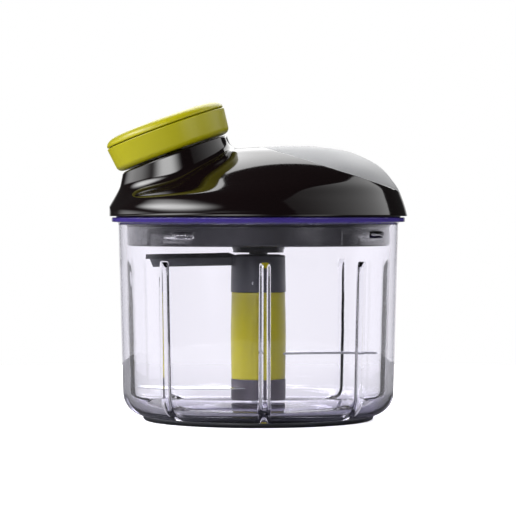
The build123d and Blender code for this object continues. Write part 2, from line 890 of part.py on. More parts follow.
with BuildPart() as cord_lead:
    with BuildLine() as lead_path:
        FilletPolyline(
            lead_start,
            corner,
            neck_top.origin - neck_top.z_dir * cord_joint_depth,
            radius=bend_radius,
        )
    with BuildSketch(Plane(lead_path.line @ 0, z_dir=lead_path.line % 0)):
        Circle(cord_radius)
    sweep()

# Pull handle: dish and cap that close over the knot
dish_bottom = handle_gap
dish_top = dish_bottom + dish_height
ledge_radius = handle_radius - seam_depth
cap_bottom = dish_top + seam_height
knot_bottom = dish_bottom + dish_floor

with BuildPart() as handle_dish:
    revolve(section(
        (0, dish_bottom),
        (handle_radius - dish_draft, dish_bottom),
        (handle_radius, dish_top),
        (ledge_radius, dish_top),
        (ledge_radius, cap_bottom),
        (handle_radius - dish_wall, cap_bottom),
        (handle_radius - dish_wall - dish_draft, knot_bottom),
        (0, knot_bottom),
        plane=neck_section,
    ), pull_axis)
    dish_rim = handle_dish.edges().filter_by(GeomType.CIRCLE).sort_by(
        Axis(neck_top.origin, neck_top.z_dir))[0]
    fillet(dish_rim, dish_edge)
    revolve(section(
        (0, dish_bottom + fit_gap),
        (spigot_radius, dish_bottom + fit_gap),
        (spigot_tip, dish_bottom - spigot_length),
        (0, dish_bottom - spigot_length),
        plane=neck_section,
    ), pull_axis)
    with BuildSketch(neck_top.offset(dish_bottom - spigot_length)):
        Circle(cord_hole)
    extrude(amount=spigot_length + dish_floor, mode=Mode.SUBTRACT)

lip_draft = dish_draft * cap_lip_height / (cap_bottom - knot_bottom)
lip_radius = handle_radius - dish_wall - lip_draft - fit_gap
with BuildPart() as handle_cap:
    with BuildSketch(neck_section):
        cap_top = cap_bottom + cap_height
        cap_radius = handle_radius - cap_inset
        with BuildLine():
            shoulder = EllipticalCenterArc((cap_flat, cap_bottom), cap_radius - cap_flat, cap_height)
            TangentArc((0, cap_top + cap_crown), shoulder @ 1, tangent=(1, 0))
            Polyline(
                (0, cap_top + cap_crown),
                (0, cap_top + cap_crown - cap_wall),
                (lip_radius - cap_lip_width, cap_top - cap_wall - cap_crown),
                (lip_radius - cap_lip_width, cap_bottom - cap_lip_height),
                (lip_radius, cap_bottom - cap_lip_height),
                (lip_radius, cap_bottom),
                (cap_radius, cap_bottom),
            )
        make_face()
    revolve(axis=pull_axis)

with BuildPart() as cord_knot:
    with BuildSketch(neck_top.offset(knot_bottom)):
        Circle(knot_radius)
    extrude(amount=knot_height)
    fillet(cord_knot.edges().filter_by(GeomType.CIRCLE), knot_edge)

with BuildPart() as pull_cord:
    with BuildSketch(neck_top.offset(-cord_joint_depth)):
        Circle(cord_radius)
    extrude(amount=cord_joint_depth + knot_bottom)

pieces = {
    "bowl": bowl,
    "base_ring": base_ring,
    "spindle_pin": spindle_pin,
    "thrust_washer": thrust_washer,
    "column_core": column_core,
    "column_bush": column_bush,
    "lower_hub": lower_hub,
    "lower_blade": lower_blade,
    "column_sleeve": column_sleeve,
    "upper_blade": upper_blade,
    "upper_hub": upper_hub,
    "paddle": paddle,
    "hub_pin": hub_pin,
    "lid_seal": lid_seal,
    "lid_base": lid_base,
    "drive_bush": drive_bush,
    "drive_collar": drive_collar,
    "drive_shaft": drive_shaft,
    "cord_spool": cord_spool,
    "spool_screw": spool_screw,
    "cord_winding": cord_winding,
    "return_spring": return_spring,
    "spool_bridge": spool_bridge,
    "bridge_screws": bridge_screws,
    "lid_screws": lid_screws,
    "lid_shell": lid_shell,
    "palm_grip": palm_grip,
    "cord_guide": cord_guide,
    "cord_lead": cord_lead,
    "handle_dish": handle_dish,
    "handle_cap": handle_cap,
    "cord_knot": cord_knot,
    "pull_cord": pull_cord,
}
for name, piece in pieces.items():
    piece.part.label = name
    export_step(piece.part, f"parts/{name}.step")
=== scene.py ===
"""Looks of a hand-pulled food chopper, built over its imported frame."""

import json
import logging
from collections.abc import Callable, Sequence
from dataclasses import dataclass
from enum import Enum
from math import asin, atan2, cos, hypot, pi, radians, sin, tan

import bmesh
import bpy
import numpy as np
from mathutils import Matrix, Vector


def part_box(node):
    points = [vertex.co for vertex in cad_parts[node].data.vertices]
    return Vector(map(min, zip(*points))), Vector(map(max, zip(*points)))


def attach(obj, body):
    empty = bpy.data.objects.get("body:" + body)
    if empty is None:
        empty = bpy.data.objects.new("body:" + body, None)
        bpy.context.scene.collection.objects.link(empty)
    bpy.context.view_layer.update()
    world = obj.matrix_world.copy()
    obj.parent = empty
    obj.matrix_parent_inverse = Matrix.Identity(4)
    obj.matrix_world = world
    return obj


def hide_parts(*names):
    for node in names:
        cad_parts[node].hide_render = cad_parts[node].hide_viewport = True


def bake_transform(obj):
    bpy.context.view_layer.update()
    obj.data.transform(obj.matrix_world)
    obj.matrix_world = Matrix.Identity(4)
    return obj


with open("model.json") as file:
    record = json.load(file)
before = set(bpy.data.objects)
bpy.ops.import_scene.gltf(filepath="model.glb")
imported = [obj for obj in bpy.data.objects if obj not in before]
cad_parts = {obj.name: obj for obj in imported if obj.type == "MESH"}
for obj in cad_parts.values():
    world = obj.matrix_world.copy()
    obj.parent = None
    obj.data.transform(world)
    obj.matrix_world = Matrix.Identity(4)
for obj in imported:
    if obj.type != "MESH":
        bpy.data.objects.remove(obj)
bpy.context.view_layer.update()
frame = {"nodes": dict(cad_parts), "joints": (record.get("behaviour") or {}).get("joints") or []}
MM = 0.001
# Range that holds most of a noise's values
NOISE_RANGE = (0.3, 0.7)
log = logging.getLogger("food_chopper")

Point = tuple[float, float]
Array = np.ndarray
Mesh = bmesh.types.BMesh
Socket = bpy.types.NodeSocket


# Colours and shader nodes

def linear(hex_colour: str) -> tuple[float, float, float, float]:
    """Turns an sRGB hex value such as "#b8b63c" into a linear colour with an alpha of one."""
    channels = [int(hex_colour[i:i + 2], 16) / 255 for i in (1, 3, 5)]
    red, green, blue = (c / 12.92 if c <= 0.04045 else ((c + 0.055) / 1.055) ** 2.4 for c in channels)
    return red, green, blue, 1.0


class Graph:
    """Node tree with short calls for the shader nodes that the finishes and the studio use."""

    def __init__(self, tree: bpy.types.NodeTree) -> None:
        """Takes a tree and empties it."""
        self.tree = tree
        tree.nodes.clear()

    def node(self, kind: str, inputs: dict | None = None, **settings: object) -> bpy.types.Node:
        """Adds a node with its settings, values and links.

        Args:
            kind: Blender's name of the node type.
            inputs: Socket names or numbers, each with a value or an output socket.
            settings: Attributes of the node itself.

        Returns:
            The new node.
        """
        item = self.tree.nodes.new(kind)
        for name, value in settings.items():
            setattr(item, name, value)
        for name, value in (inputs or {}).items():
            if isinstance(value, Socket):
                self.tree.links.new(value, item.inputs[name])
            else:
                item.inputs[name].default_value = value
        return item

    def place(self, space: str = "Object") -> Socket:
        """Coordinates of the shaded point."""
        return self.node("ShaderNodeTexCoord").outputs[space]

    def path(self, name: str) -> Socket:
        """Fact about the light path."""
        return self.node("ShaderNodeLightPath").outputs[name]

    def straight(self) -> Socket:
        """One for light that comes from the camera through clear walls alone, else zero."""
        bounces = self.number("ADD", self.path("Glossy Depth"), self.path("Diffuse Depth"))
        return self.number("SUBTRACT", 1.0, bounces, use_clamp=True)

    def noise(self, place: Socket, size_mm: float, detail: float) -> Socket:
        """Noise whose blotches have a size."""
        return self.node("ShaderNodeTexNoise", {"Vector": place, "Scale": 1 / (size_mm * MM),
                                      "Detail": detail}).outputs["Fac"]

    def spread(self, value: Socket, source: Point = (0, 1), target: Point = (0, 1),
               easing: str = "LINEAR") -> Socket:
        """Maps one range of a value onto another and clamps the rest."""
        return self.node("ShaderNodeMapRange", {"Value": value, "From Min": source[0], "From Max": source[1],
                                      "To Min": target[0], "To Max": target[1]},
                         interpolation_type=easing).outputs["Result"]

    def number(self, operation: str, *values: Socket | float, use_clamp: bool = False) -> Socket:
        """Result of a calculation with numbers."""
        return self.node("ShaderNodeMath", dict(enumerate(values)), operation=operation,
                         use_clamp=use_clamp).outputs["Value"]

    def vector(self, operation: str, *values: Socket | tuple[float, float, float]) -> Sequence[Socket]:
        """Outputs of a calculation with vectors: Vector and, where it gives a number, Value."""
        return self.node("ShaderNodeVectorMath", dict(enumerate(values)), operation=operation).outputs

    def mix(self, factor: Socket, first: Socket | float, second: Socket | float) -> Socket:
        """Number between two others."""
        return self.node("ShaderNodeMix", {"Factor": factor, "A": first, "B": second}).outputs["Result"]

    def mix_colour(self, factor: Socket, first: str, second: str) -> Socket:
        """Colour between two hex values."""
        return self.node("ShaderNodeMix", {"Factor": factor, 6: linear(first), 7: linear(second)},
                         data_type="RGBA").outputs[2]

    def shaded(self, colour: str, value: Socket) -> Socket:
        """Hex colour times a brightness."""
        return self.node("ShaderNodeHueSaturation",
                         {"Color": linear(colour), "Value": value}).outputs["Color"]

    def bump(self, height: Socket, depth_mm: float, **normal: Socket) -> Socket:
        """Normal of a relief, which may lie on another one given as Normal."""
        return self.node("ShaderNodeBump", {"Height": height, "Strength": 1.0, "Distance": depth_mm * MM,
                                  **normal}).outputs["Normal"]

    def principled(self, inputs: dict) -> dict[str, Socket]:
        """Principled shader, for an output's surface."""
        return {"Surface": self.node("ShaderNodeBsdfPrincipled", inputs).outputs["BSDF"]}


def new_material(name: str) -> tuple[bpy.types.Material, Graph]:
    """Makes an empty node material and returns it with its graph."""
    material = bpy.data.materials.new(name)
    material.use_nodes = True
    return material, Graph(material.node_tree)


# Finishes

@dataclass(frozen=True)
class Recipe:
    """Named recipe of a finish, which says what goes to the material's output."""

    name: str

    def material(self) -> bpy.types.Material:
        """Builds the node material."""
        material, graph = new_material(self.name)
        graph.node("ShaderNodeOutputMaterial", self.shade(graph))
        return material


@dataclass(frozen=True)
class Moulded(Recipe):
    """Injection-moulded plastic: an even colour under fine spark-eroded grain and a soft gloss."""

    colour: str
    roughness: float
    grain_mm: float
    grain_depth_mm: float
    shine_change: float = 0.06
    colour_change: float = 0.04
    ior: float = 1.5
    ripple_depth_mm: float = 0.0
    ripple_mm: float = 9.0
    flow_mm: float = 30.0

    def shade(self, graph: Graph) -> dict[str, Socket]:
        """Builds the plastic's nodes."""
        place = graph.place()
        grain = graph.noise(place, self.grain_mm, 3.0)
        flow = graph.noise(place, self.flow_mm, 2.0)
        shine = graph.spread(flow, NOISE_RANGE,
                             (self.roughness - self.shine_change, self.roughness + self.shine_change))
        value = graph.spread(grain, NOISE_RANGE, (1 - self.colour_change, 1 + self.colour_change))
        normal = graph.bump(grain, self.grain_depth_mm)
        if self.ripple_depth_mm:
            normal = graph.bump(graph.noise(place, self.ripple_mm, 0.0), self.ripple_depth_mm, Normal=normal)
        return graph.principled({"Base Color": graph.shaded(self.colour, value), "Roughness": shine,
                                 "IOR": self.ior, "Normal": normal})


@dataclass(frozen=True)
class ClearCopolyester(Recipe):
    """Clear moulded copolyester: its thick edges turn violet; the rim is a diffuse violet that is partly the
    plastic's own tint and partly painted light standing in for light carried through the flange.
    """

    ior: float = 1.56
    roughness: float = 0.012
    colour: str = "#fdfcff"
    tint: str = "#9d97c8"
    density: float = 26.0
    shadow_colour: str = "#f2f0fa"
    # Rim violet: the plastic's own tint plus painted light that stands in for light carried through the
    # flange.
    rim_tint_and_piped_light: str = "#5646a6"
    rim_mm: float = 91.7
    rim_fade_mm: float = 0.4
    rim_clear: float = 0.55
    flow_mm: float = 14.0
    flow_depth_mm: float = 0.03

    def shade(self, graph: Graph) -> dict[str, Socket]:
        """Builds the clear wall's nodes."""
        place = graph.place()
        flow = graph.noise(place, self.flow_mm, 1.0)
        level = graph.node("ShaderNodeSeparateXYZ", {"Vector": place}).outputs["Z"]
        rim = graph.spread(level, ((self.rim_mm - self.rim_fade_mm) * MM, self.rim_mm * MM))
        clear = graph.principled({
            # Painted light in the rim: a diffuse violet that stands in for light carried through the flange,
            # over the plastic's tint.
            "Base Color": graph.mix_colour(rim, self.colour, self.rim_tint_and_piped_light),
            "Roughness": graph.spread(flow, NOISE_RANGE, (self.roughness * 0.5, self.roughness * 1.5)),
            "IOR": self.ior,
            "Transmission Weight": graph.spread(rim, target=(1.0, self.rim_clear)),
            "Normal": graph.bump(flow, self.flow_depth_mm)})
        window = graph.node("ShaderNodeBsdfTransparent", {"Color": linear(self.shadow_colour)})
        pick = graph.node("ShaderNodeMixShader", {0: graph.path("Is Shadow Ray"), 1: clear["Surface"],
                                        2: window.outputs["BSDF"]})
        depth = graph.node("ShaderNodeVolumeAbsorption",
                           {"Color": linear(self.tint), "Density": self.density})
        return {"Surface": pick.outputs["Shader"], "Volume": depth.outputs["Volume"]}


@dataclass(frozen=True)
class Steel(Recipe):
    """Stainless steel with the fine parallel scratches that grinding or turning leaves."""

    colour: str
    roughness: float
    scratch_mm: float
    along: tuple[float, float, float]
    scratch_depth_mm: float = 0.004

    def shade(self, graph: Graph) -> dict[str, Socket]:
        """Builds the metal's nodes."""
        stretched = graph.node("ShaderNodeMapping", {"Vector": graph.place(), "Scale": self.along})
        scratch = graph.noise(stretched.outputs["Vector"], self.scratch_mm, 4.0)
        return graph.principled({
            "Base Color": linear(self.colour), "Metallic": 1.0,
            "Roughness": graph.spread(scratch, NOISE_RANGE, (self.roughness * 0.7, self.roughness * 1.3)),
            "Normal": graph.bump(scratch, self.scratch_depth_mm)})


@dataclass(frozen=True)
class BraidedCord(Recipe):
    """Braided polyester: small crossing strands that stand up from the cord."""

    colour: str
    strand_mm: float
    strand_depth_mm: float = 0.15
    lean: float = radians(40)

    def shade(self, graph: Graph) -> dict[str, Socket]:
        """Builds the braid's nodes."""
        place = graph.place()
        strands = []
        for turn in (self.lean, -self.lean):
            leaned = graph.node("ShaderNodeMapping", {"Vector": place, "Rotation": (turn, turn, 0)})
            wave = graph.node("ShaderNodeTexWave", {"Vector": leaned.outputs["Vector"],
                                          "Scale": 0.31 / (self.strand_mm * MM)}, bands_direction="Z")
            strands.append(wave.outputs["Fac"])
        crossed = graph.number("MAXIMUM", *strands)
        # Painted shade: the base colour darkens in the grooves between the strands.
        value = graph.spread(crossed, target=(0.55, 1.0))
        return graph.principled({"Base Color": graph.shaded(self.colour, value), "Roughness": 0.8,
                                 "Sheen Weight": 0.3, "Normal": graph.bump(crossed, self.strand_depth_mm)})


class Finish(Enum):
    """Every finish of the chopper: its material slot in the record, then its recipe."""

    CLEAR = "clear_bowl", ClearCopolyester("clear copolyester")
    SHELL = "gloss_black", Moulded("polished black ABS", "#0f0809", 0.08, 0.6, 0.0004, 0.015, 0.0, 1.53,
                                   0.006)
    # Painted sheen: the grip's light grey base colour stands in for the grazing sheen of the back light on
    # dark soft-touch plastic.
    GRIP = "soft_grip", Moulded("etched soft grip, painted sheen", "#8c8d90", 0.46, 0.45, 0.05, 0.03, 0.1)
    HANDLE = "lime_plastic", Moulded("satin lime ABS", "#a8a200", 0.36, 0.35, 0.008, 0.04, 0.02)
    SLEEVE = "lime_plastic", Moulded("satin lime sleeve", "#a39c00", 0.34, 0.4, 0.006, 0.05, 0.02)
    HUB = "dark_plastic", Moulded("dark grey nylon", "#3a3b40", 0.38, 0.4, 0.008)
    LOWER_HUB = "dark_plastic", Moulded("purple grey nylon", "#3d383f", 0.42, 0.4, 0.008)
    PADDLE = "dark_plastic", Moulded("grey nylon", "#505155", 0.4, 0.4, 0.008)
    SKIRT = "dark_plastic", Moulded("grey polypropylene", "#1a1a1e", 0.2, 0.5, 0.004, 0.03, 0.0, 2.0)
    COLLAR = "dark_plastic", Moulded("black acetal", "#17171a", 0.26, 0.4, 0.004)
    BEARING = "bearing_plastic", Moulded("natural acetal", "#e4e2da", 0.35, 0.5, 0.004)
    RUBBER = "black_rubber", Moulded("moulded elastomer", "#0c0d0f", 0.5, 0.3, 0.02, 0.05, 0.1)
    FOOT = "black_rubber", Moulded("soft foot elastomer", "#0d1013", 0.42, 0.3, 0.015, 0.05, 0.1)
    BLADE = "blade_steel", Steel("ground stainless steel", "#c9cbce", 0.22, 0.12, (1.0, 0.02, 1.0))
    STEEL = "steel", Steel("turned stainless steel", "#b9bbbf", 0.3, 0.15, (0.05, 0.05, 1.0))
    SPRING = "steel", Steel("blued spring steel", "#5d626e", 0.32, 0.2, (0.05, 0.05, 1.0))
    CORD = "cord", BraidedCord("braided polyester", "#dcdad2", 0.5)

    def __init__(self, slot: str, recipe: Recipe) -> None:
        """Names the two values."""
        self.slot, self.recipe = slot, recipe

    def get(self) -> bpy.types.Material:
        """Returns the finish's material, made once."""
        return bpy.data.materials.get(self.recipe.name) or self.recipe.material()


# Meshes

def levels(node: str) -> Point:
    """Lowest and highest level of a node, in millimetres."""
    low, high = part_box(node)
    return low.z / MM, high.z / MM


def reach_of(node: str) -> float:
    """Farthest point of a node to the right, in millimetres."""
    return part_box(node)[1].x / MM


def rounded(corners: Sequence[tuple[float, float, float]], steps: int = 6) -> list[Point]:
    """Rounds the corners of an outline with circular arcs.

    Args:
        corners: Two coordinates and a corner radius each.
        steps: Segments of an arc.

    Returns:
        The outline's points.
    """
    points: list[Point] = []
    for i, (x, y, radius) in enumerate(corners):
        corner = Vector((x, y))
        if radius <= 0:
            points.append((x, y))
            continue
        before = (Vector(corners[i - 1][:2]) - corner).normalized()
        after = (Vector(corners[(i + 1) % len(corners)][:2]) - corner).normalized()
        half = before.angle(after) / 2
        reach = radius / tan(half)
        weight = sin(half)
        start, end = corner + before * reach, corner + after * reach
        for step in range(steps + 1):
            t = step / steps
            a, b, c = (1 - t) ** 2, 2 * weight * t * (1 - t), t * t
            points.append(tuple((start * a + corner * b + end * c) / (a + b + c)))
    return points


def turned(outline: Sequence[Point], steps: int = 128) -> Mesh:
    """Spins a closed outline of radius and height about the upright axis.

    Args:
        outline: Radius and height of each point, in millimetres.
        steps: Number of segments round the axis.

    Returns:
        A closed mesh in millimetres.
    """
    bm = bmesh.new()
    verts = [bm.verts.new((radius, 0, height)) for radius, height in outline]
    edges = [bm.edges.new((verts[i - 1], vert)) for i, vert in enumerate(verts)]
    bmesh.ops.spin(bm, geom=verts + edges, cent=(0, 0, 0), axis=(0, 0, 1), angle=2 * pi,
                   steps=steps, use_merge=True, use_normal_flip=False, use_duplicate=False)
    bmesh.ops.remove_doubles(bm, verts=bm.verts, dist=1e-4)
    bmesh.ops.dissolve_degenerate(bm, edges=bm.edges, dist=1e-5)
    bmesh.ops.recalc_face_normals(bm, faces=bm.faces)
    return bm


def grow(bm: Mesh, edges: list[bmesh.types.BMEdge]
         ) -> tuple[set[bmesh.types.BMVert], list[bmesh.types.BMEdge]]:
    """Extrudes a row of edges and returns the new row's points and edges."""
    geom = bmesh.ops.extrude_edge_only(bm, edges=edges)["geom"]
    verts = {item for item in geom if isinstance(item, bmesh.types.BMVert)}
    return verts, [item for item in geom if isinstance(item, bmesh.types.BMEdge)
                   and item.verts[0] in verts and item.verts[1] in verts]


def face_up(bm: Mesh) -> None:
    """Turns the normals of a skin of the lid outwards."""
    bmesh.ops.recalc_face_normals(bm, faces=bm.faces)
    if sum(face.normal.z for face in bm.faces) < 0:
        bmesh.ops.reverse_faces(bm, faces=bm.faces)


def loft_rings(rings: Sequence[Array]) -> Mesh:
    """Skins a row of rings that hold as many points each, from the first to the last.

    Args:
        rings: Arrays of points, in millimetres, all starting at the same side.

    Returns:
        An open mesh in millimetres.
    """
    bm = bmesh.new()
    column = bm.verts.layers.int.new("column")
    made = bmesh.ops.create_circle(bm, cap_ends=False, segments=len(rings[0]), radius=1)
    for i, vert in enumerate(made["verts"]):
        vert[column] = i
        vert.co = Vector(rings[0][i])
    edges = list(bm.edges)
    for ring in rings[1:]:
        verts, edges = grow(bm, edges)
        for vert in verts:
            vert.co = Vector(ring[vert[column]])
    bmesh.ops.recalc_face_normals(bm, faces=bm.faces)
    return bm


def add_object(name: str, data: bpy.types.ID) -> bpy.types.Object:
    """Puts new data into the scene as an object."""
    item = bpy.data.objects.new(name, data)
    bpy.context.scene.collection.objects.link(item)
    return item


def mesh_object(bm: Mesh, name: str, material: bpy.types.Material) -> bpy.types.Object:
    """Puts a mesh into the scene with its material and frees it."""
    mesh = bpy.data.meshes.new(name)
    bm.to_mesh(mesh)
    bm.free()
    mesh.materials.append(material)
    return add_object(name, mesh)


def finish_piece(bm: Mesh, node: str, name: str, body: str, finish: Finish,
                 place: Matrix | None = None, weighted: bool = True) -> bpy.types.Object:
    """Turns a mesh in millimetres into a piece that rides on a body.

    Args:
        bm: The mesh, which is freed.
        node: CAD node that the piece stands for.
        name: Name of the piece.
        body: Body that the piece rides on.
        finish: The finish, whose material the piece gets.
        place: Turns and moves the mesh, in millimetres, before it is scaled to metres.
        weighted: Whether broad faces pull the shading of their rounded edges flat.

    Returns:
        The object, with its place in its mesh.
    """
    if place is not None:
        bmesh.ops.transform(bm, matrix=place, verts=bm.verts)
    bmesh.ops.scale(bm, vec=(MM, MM, MM), verts=bm.verts)
    piece = mesh_object(bm, name, finish.get())
    piece.data.shade_smooth()
    if weighted:
        piece.modifiers.new("weighted normals", "WEIGHTED_NORMAL").keep_sharp = True
    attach(piece, body)
    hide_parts(node)
    log.info("%s: %d faces", name, len(piece.data.polygons))
    return piece


def smooth_copy(node: str, name: str, body: str, finish: Finish, sharp: float = 32) -> bpy.types.Object:
    """Copies a CAD node, welds it and shades it smooth between its sharp edges.

    Args:
        node: The CAD node.
        name: Name of the piece.
        body: Body that the piece rides on.
        finish: The finish, whose material the piece gets.
        sharp: Smallest angle of an edge that stays sharp, in degrees.

    Returns:
        The object that stands for the node.
    """
    bm = bmesh.new()
    bm.from_mesh(frame["nodes"][node].data)
    bmesh.ops.scale(bm, vec=(1 / MM, 1 / MM, 1 / MM), verts=bm.verts)
    bmesh.ops.remove_doubles(bm, verts=bm.verts, dist=1e-3)
    for edge in bm.edges:
        edge.smooth = edge.is_manifold and edge.calc_face_angle(pi) < radians(sharp)
    return finish_piece(bm, node, name, body, finish, weighted=False)


def thicken(piece: bpy.types.Object, wall: float) -> None:
    """Gives a skin a wall on its inside, in millimetres."""
    solid = piece.modifiers.new("wall", "SOLIDIFY")
    solid.thickness = wall * MM
    solid.offset = -1


def natural_spline(knots: Array, values: Array) -> Callable[[Array], Array]:
    """Makes a natural cubic spline through a few values.

    Args:
        knots: Rising places of the values.
        values: A value for each knot.

    Returns:
        A function that gives the value at any place.
    """
    gaps = np.diff(knots)
    count = len(knots)
    system, right = np.eye(count), np.zeros(count)
    for i in range(1, count - 1):
        system[i, i - 1:i + 2] = gaps[i - 1], 2 * (gaps[i - 1] + gaps[i]), gaps[i]
        right[i] = 6 * ((values[i + 1] - values[i]) / gaps[i] - (values[i] - values[i - 1]) / gaps[i - 1])
    bends = np.linalg.solve(system, right)

    def at(place: Array) -> Array:
        """Value of the spline at some places."""
        i = np.clip(np.searchsorted(knots, place) - 1, 0, count - 2)
        gap, low, high = gaps[i], place - knots[i], knots[i + 1] - place
        return ((bends[i] * high ** 3 + bends[i + 1] * low ** 3) / (6 * gap)
                + (values[i] / gap - bends[i] * gap / 6) * high
                + (values[i + 1] / gap - bends[i + 1] * gap / 6) * low)

    return at


# Bowl

LUG_COUNT = 4
LUG_TURN = radians(-123)
LUG_DROP = 7.8


def off_centre(angle: float, first: float, count: int) -> float:
    """Angle from the nearest of a number of features, evenly spaced from the first."""
    pitch = 2 * pi / count
    return (angle - first + pitch / 2) % pitch - pitch / 2


@dataclass
class Bowl:
    """Clear bowl with its rim flange, inner ribs and bayonet lugs, and the soft ring under it."""

    radius: float = 65.1
    taper: float = radians(1.5)
    wall: float = 3.2
    floor: float = 3.8
    corner: float = 10.5
    flange: float = 3.2
    flange_height: float = 2.2
    rib_count: int = 8
    rib_radius: float = 2.2
    rib_turn: float = radians(-87.3)
    rib_drop: float = 19.8
    rib_foot: float = 49.5
    rib_fade: float = 3
    lug_width: float = 9.3
    lug_height: float = 2.4
    lug_reach: float = 0.5
    foot_sink: float = 1.2
    foot_width: float = 8
    washer_gap: float = 0.06
    steps: int = 432
    crowd: float = 0.82

    def __post_init__(self) -> None:
        """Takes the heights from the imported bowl."""
        self.bottom = levels("base_ring")[1] - self.foot_sink
        self.top = levels("bowl")[1]

    def outer_radius(self, height: float) -> float:
        """Radius of the outside at a height."""
        return self.radius - (self.top - self.flange_height - height) * tan(self.taper)

    def inner_radius(self, height: float) -> float:
        """Radius of the inside at a height."""
        return self.outer_radius(height) - self.wall

    def outline(self) -> list[Point]:
        """Closed half section of the bowl without its ribs and lugs."""
        floor_top = self.bottom + self.floor
        under = self.top - self.flange_height
        rim = self.radius + self.flange
        lug_z = self.top - LUG_DROP
        outside = rounded([
            (0, self.bottom, 0), (self.outer_radius(self.bottom), self.bottom, self.corner),
            *((self.outer_radius(z), z, 0)
              for z in (self.bottom + 11.6, self.bottom + 12.4, under - 2.4, under - 1.6)),
            (self.outer_radius(under), under, 1.2), (rim, under, 0.5), (rim, self.top, 0.5),
            (self.inner_radius(self.top), self.top, 0.5),
        ], 14)
        tip = self.top - self.rib_drop
        edge = [self.lug_height / 2 + step for step in (0.7, 0.4, 0.15, 0)]
        heights = [self.top - 0.8, self.top - 1.2]
        heights += [lug_z + step for step in edge] + [lug_z - step for step in reversed(edge)]
        heights += [tip - step for step in (-0.8, -0.4, 0, 0.4, 0.9, 1.5, 2.2, 2.6)]
        heights += list(np.linspace(tip - 6, floor_top + 9, 14))
        wall = [(self.inner_radius(z), z) for z in heights]
        corner = self.inner_radius(floor_top), floor_top, self.corner - self.wall
        inside = rounded([(*wall[-1], 0), corner, (0, floor_top, 0)], 14)
        foot = [(self.rib_foot + shift, floor_top) for shift in (2.5, 1.8, 1.2, 0.7, 0.3, 0)]
        return outside + wall[:-1] + inside[:-1] + foot + [(self.rib_foot / 2, floor_top), (0, floor_top)]

    def crowded(self, angle: float) -> float:
        """Moves an angle towards the nearest rib, so that the ribs get the finest segments."""
        pitch = 2 * pi / self.rib_count
        place = (angle - self.rib_turn) / pitch
        whole = round(place)
        share = place - whole
        return self.rib_turn + pitch * (whole + share - self.crowd * sin(2 * pi * share) / (2 * pi))

    def bump(self, angle: float, radius: float, height: float) -> float:
        """Height of a rib or a lug over the inner surface at a place on it."""
        side = abs(off_centre(angle, self.rib_turn, self.rib_count)) * radius / self.rib_radius
        tip = self.top - self.rib_drop
        fade = min(max((tip - height) / self.rib_fade, 0), 1, max((radius - self.rib_foot) / 2.5, 0))
        rise = self.rib_radius * (1 - side ** 2) ** 0.5 * fade if side < 1 else 0
        aside = abs(off_centre(angle, LUG_TURN, LUG_COUNT)) * radius
        level = abs(height - self.top + LUG_DROP)
        over = level < self.lug_height / 2 + 0.01 and aside < self.lug_width / 2
        return self.lug_reach if over else rise

    def build_bowl(self) -> None:
        """Spins the section, then raises the ribs and lugs out of the inner wall."""
        bm = turned(self.outline(), self.steps)
        floor_top = self.bottom + self.floor
        fillet = self.corner - self.wall
        centre = self.inner_radius(floor_top) - fillet, floor_top + fillet
        for vert in bm.verts:
            radius, height = hypot(vert.co.x, vert.co.y), vert.co.z
            if radius < 1:
                continue
            angle = self.crowded(atan2(vert.co.y, vert.co.x))
            on_wall = height > centre[1] - 0.01 and abs(radius - self.inner_radius(height)) < 0.02
            on_floor = abs(height - floor_top) < 0.02 and radius < centre[0] + 0.5
            in_corner = abs(hypot(radius - centre[0], height - centre[1]) - fillet) < 0.25
            rise = self.bump(angle, radius, height)
            if on_wall:
                radius -= rise
            elif on_floor:
                height += rise
            elif in_corner:
                inward = (Vector(centre) - Vector((radius, height))).normalized() * rise
                radius, height = radius + inward.x, height + inward.y
            vert.co = Vector((radius * cos(angle), radius * sin(angle), height))
        finish_piece(bm, "bowl", "clear_bowl", "bowl", Finish.CLEAR, weighted=False)

    def build_foot(self) -> None:
        """Soft ring that the bowl stands on."""
        low, high = levels("base_ring")
        outer, top = reach_of("base_ring"), self.bottom
        inner = outer - self.foot_width
        outline = rounded([
            (inner, low, 1.2), (outer, low, 1.5), (outer - 0.25, top, 0.25), (outer - 2, top, 0),
            (outer - 2, high, 0.2), (outer - 6, high, 0.2), (outer - 6, top, 0), (inner, top, 0.2),
        ])
        finish_piece(turned(outline, 192), "base_ring", "soft_foot", "bowl", Finish.FOOT)

    def build(self) -> None:
        """Builds the bowl, its foot and the steel of its spindle."""
        self.build_bowl()
        self.build_foot()
        smooth_copy("spindle_pin", "spindle", "bowl", Finish.STEEL)
        washer = smooth_copy("thrust_washer", "spindle_washer", "bowl", Finish.STEEL)
        top = max(vert.co.z for vert in washer.data.vertices) - self.washer_gap * MM
        for vert in washer.data.vertices:
            vert.co.z = min(vert.co.z, top)


# Blade column

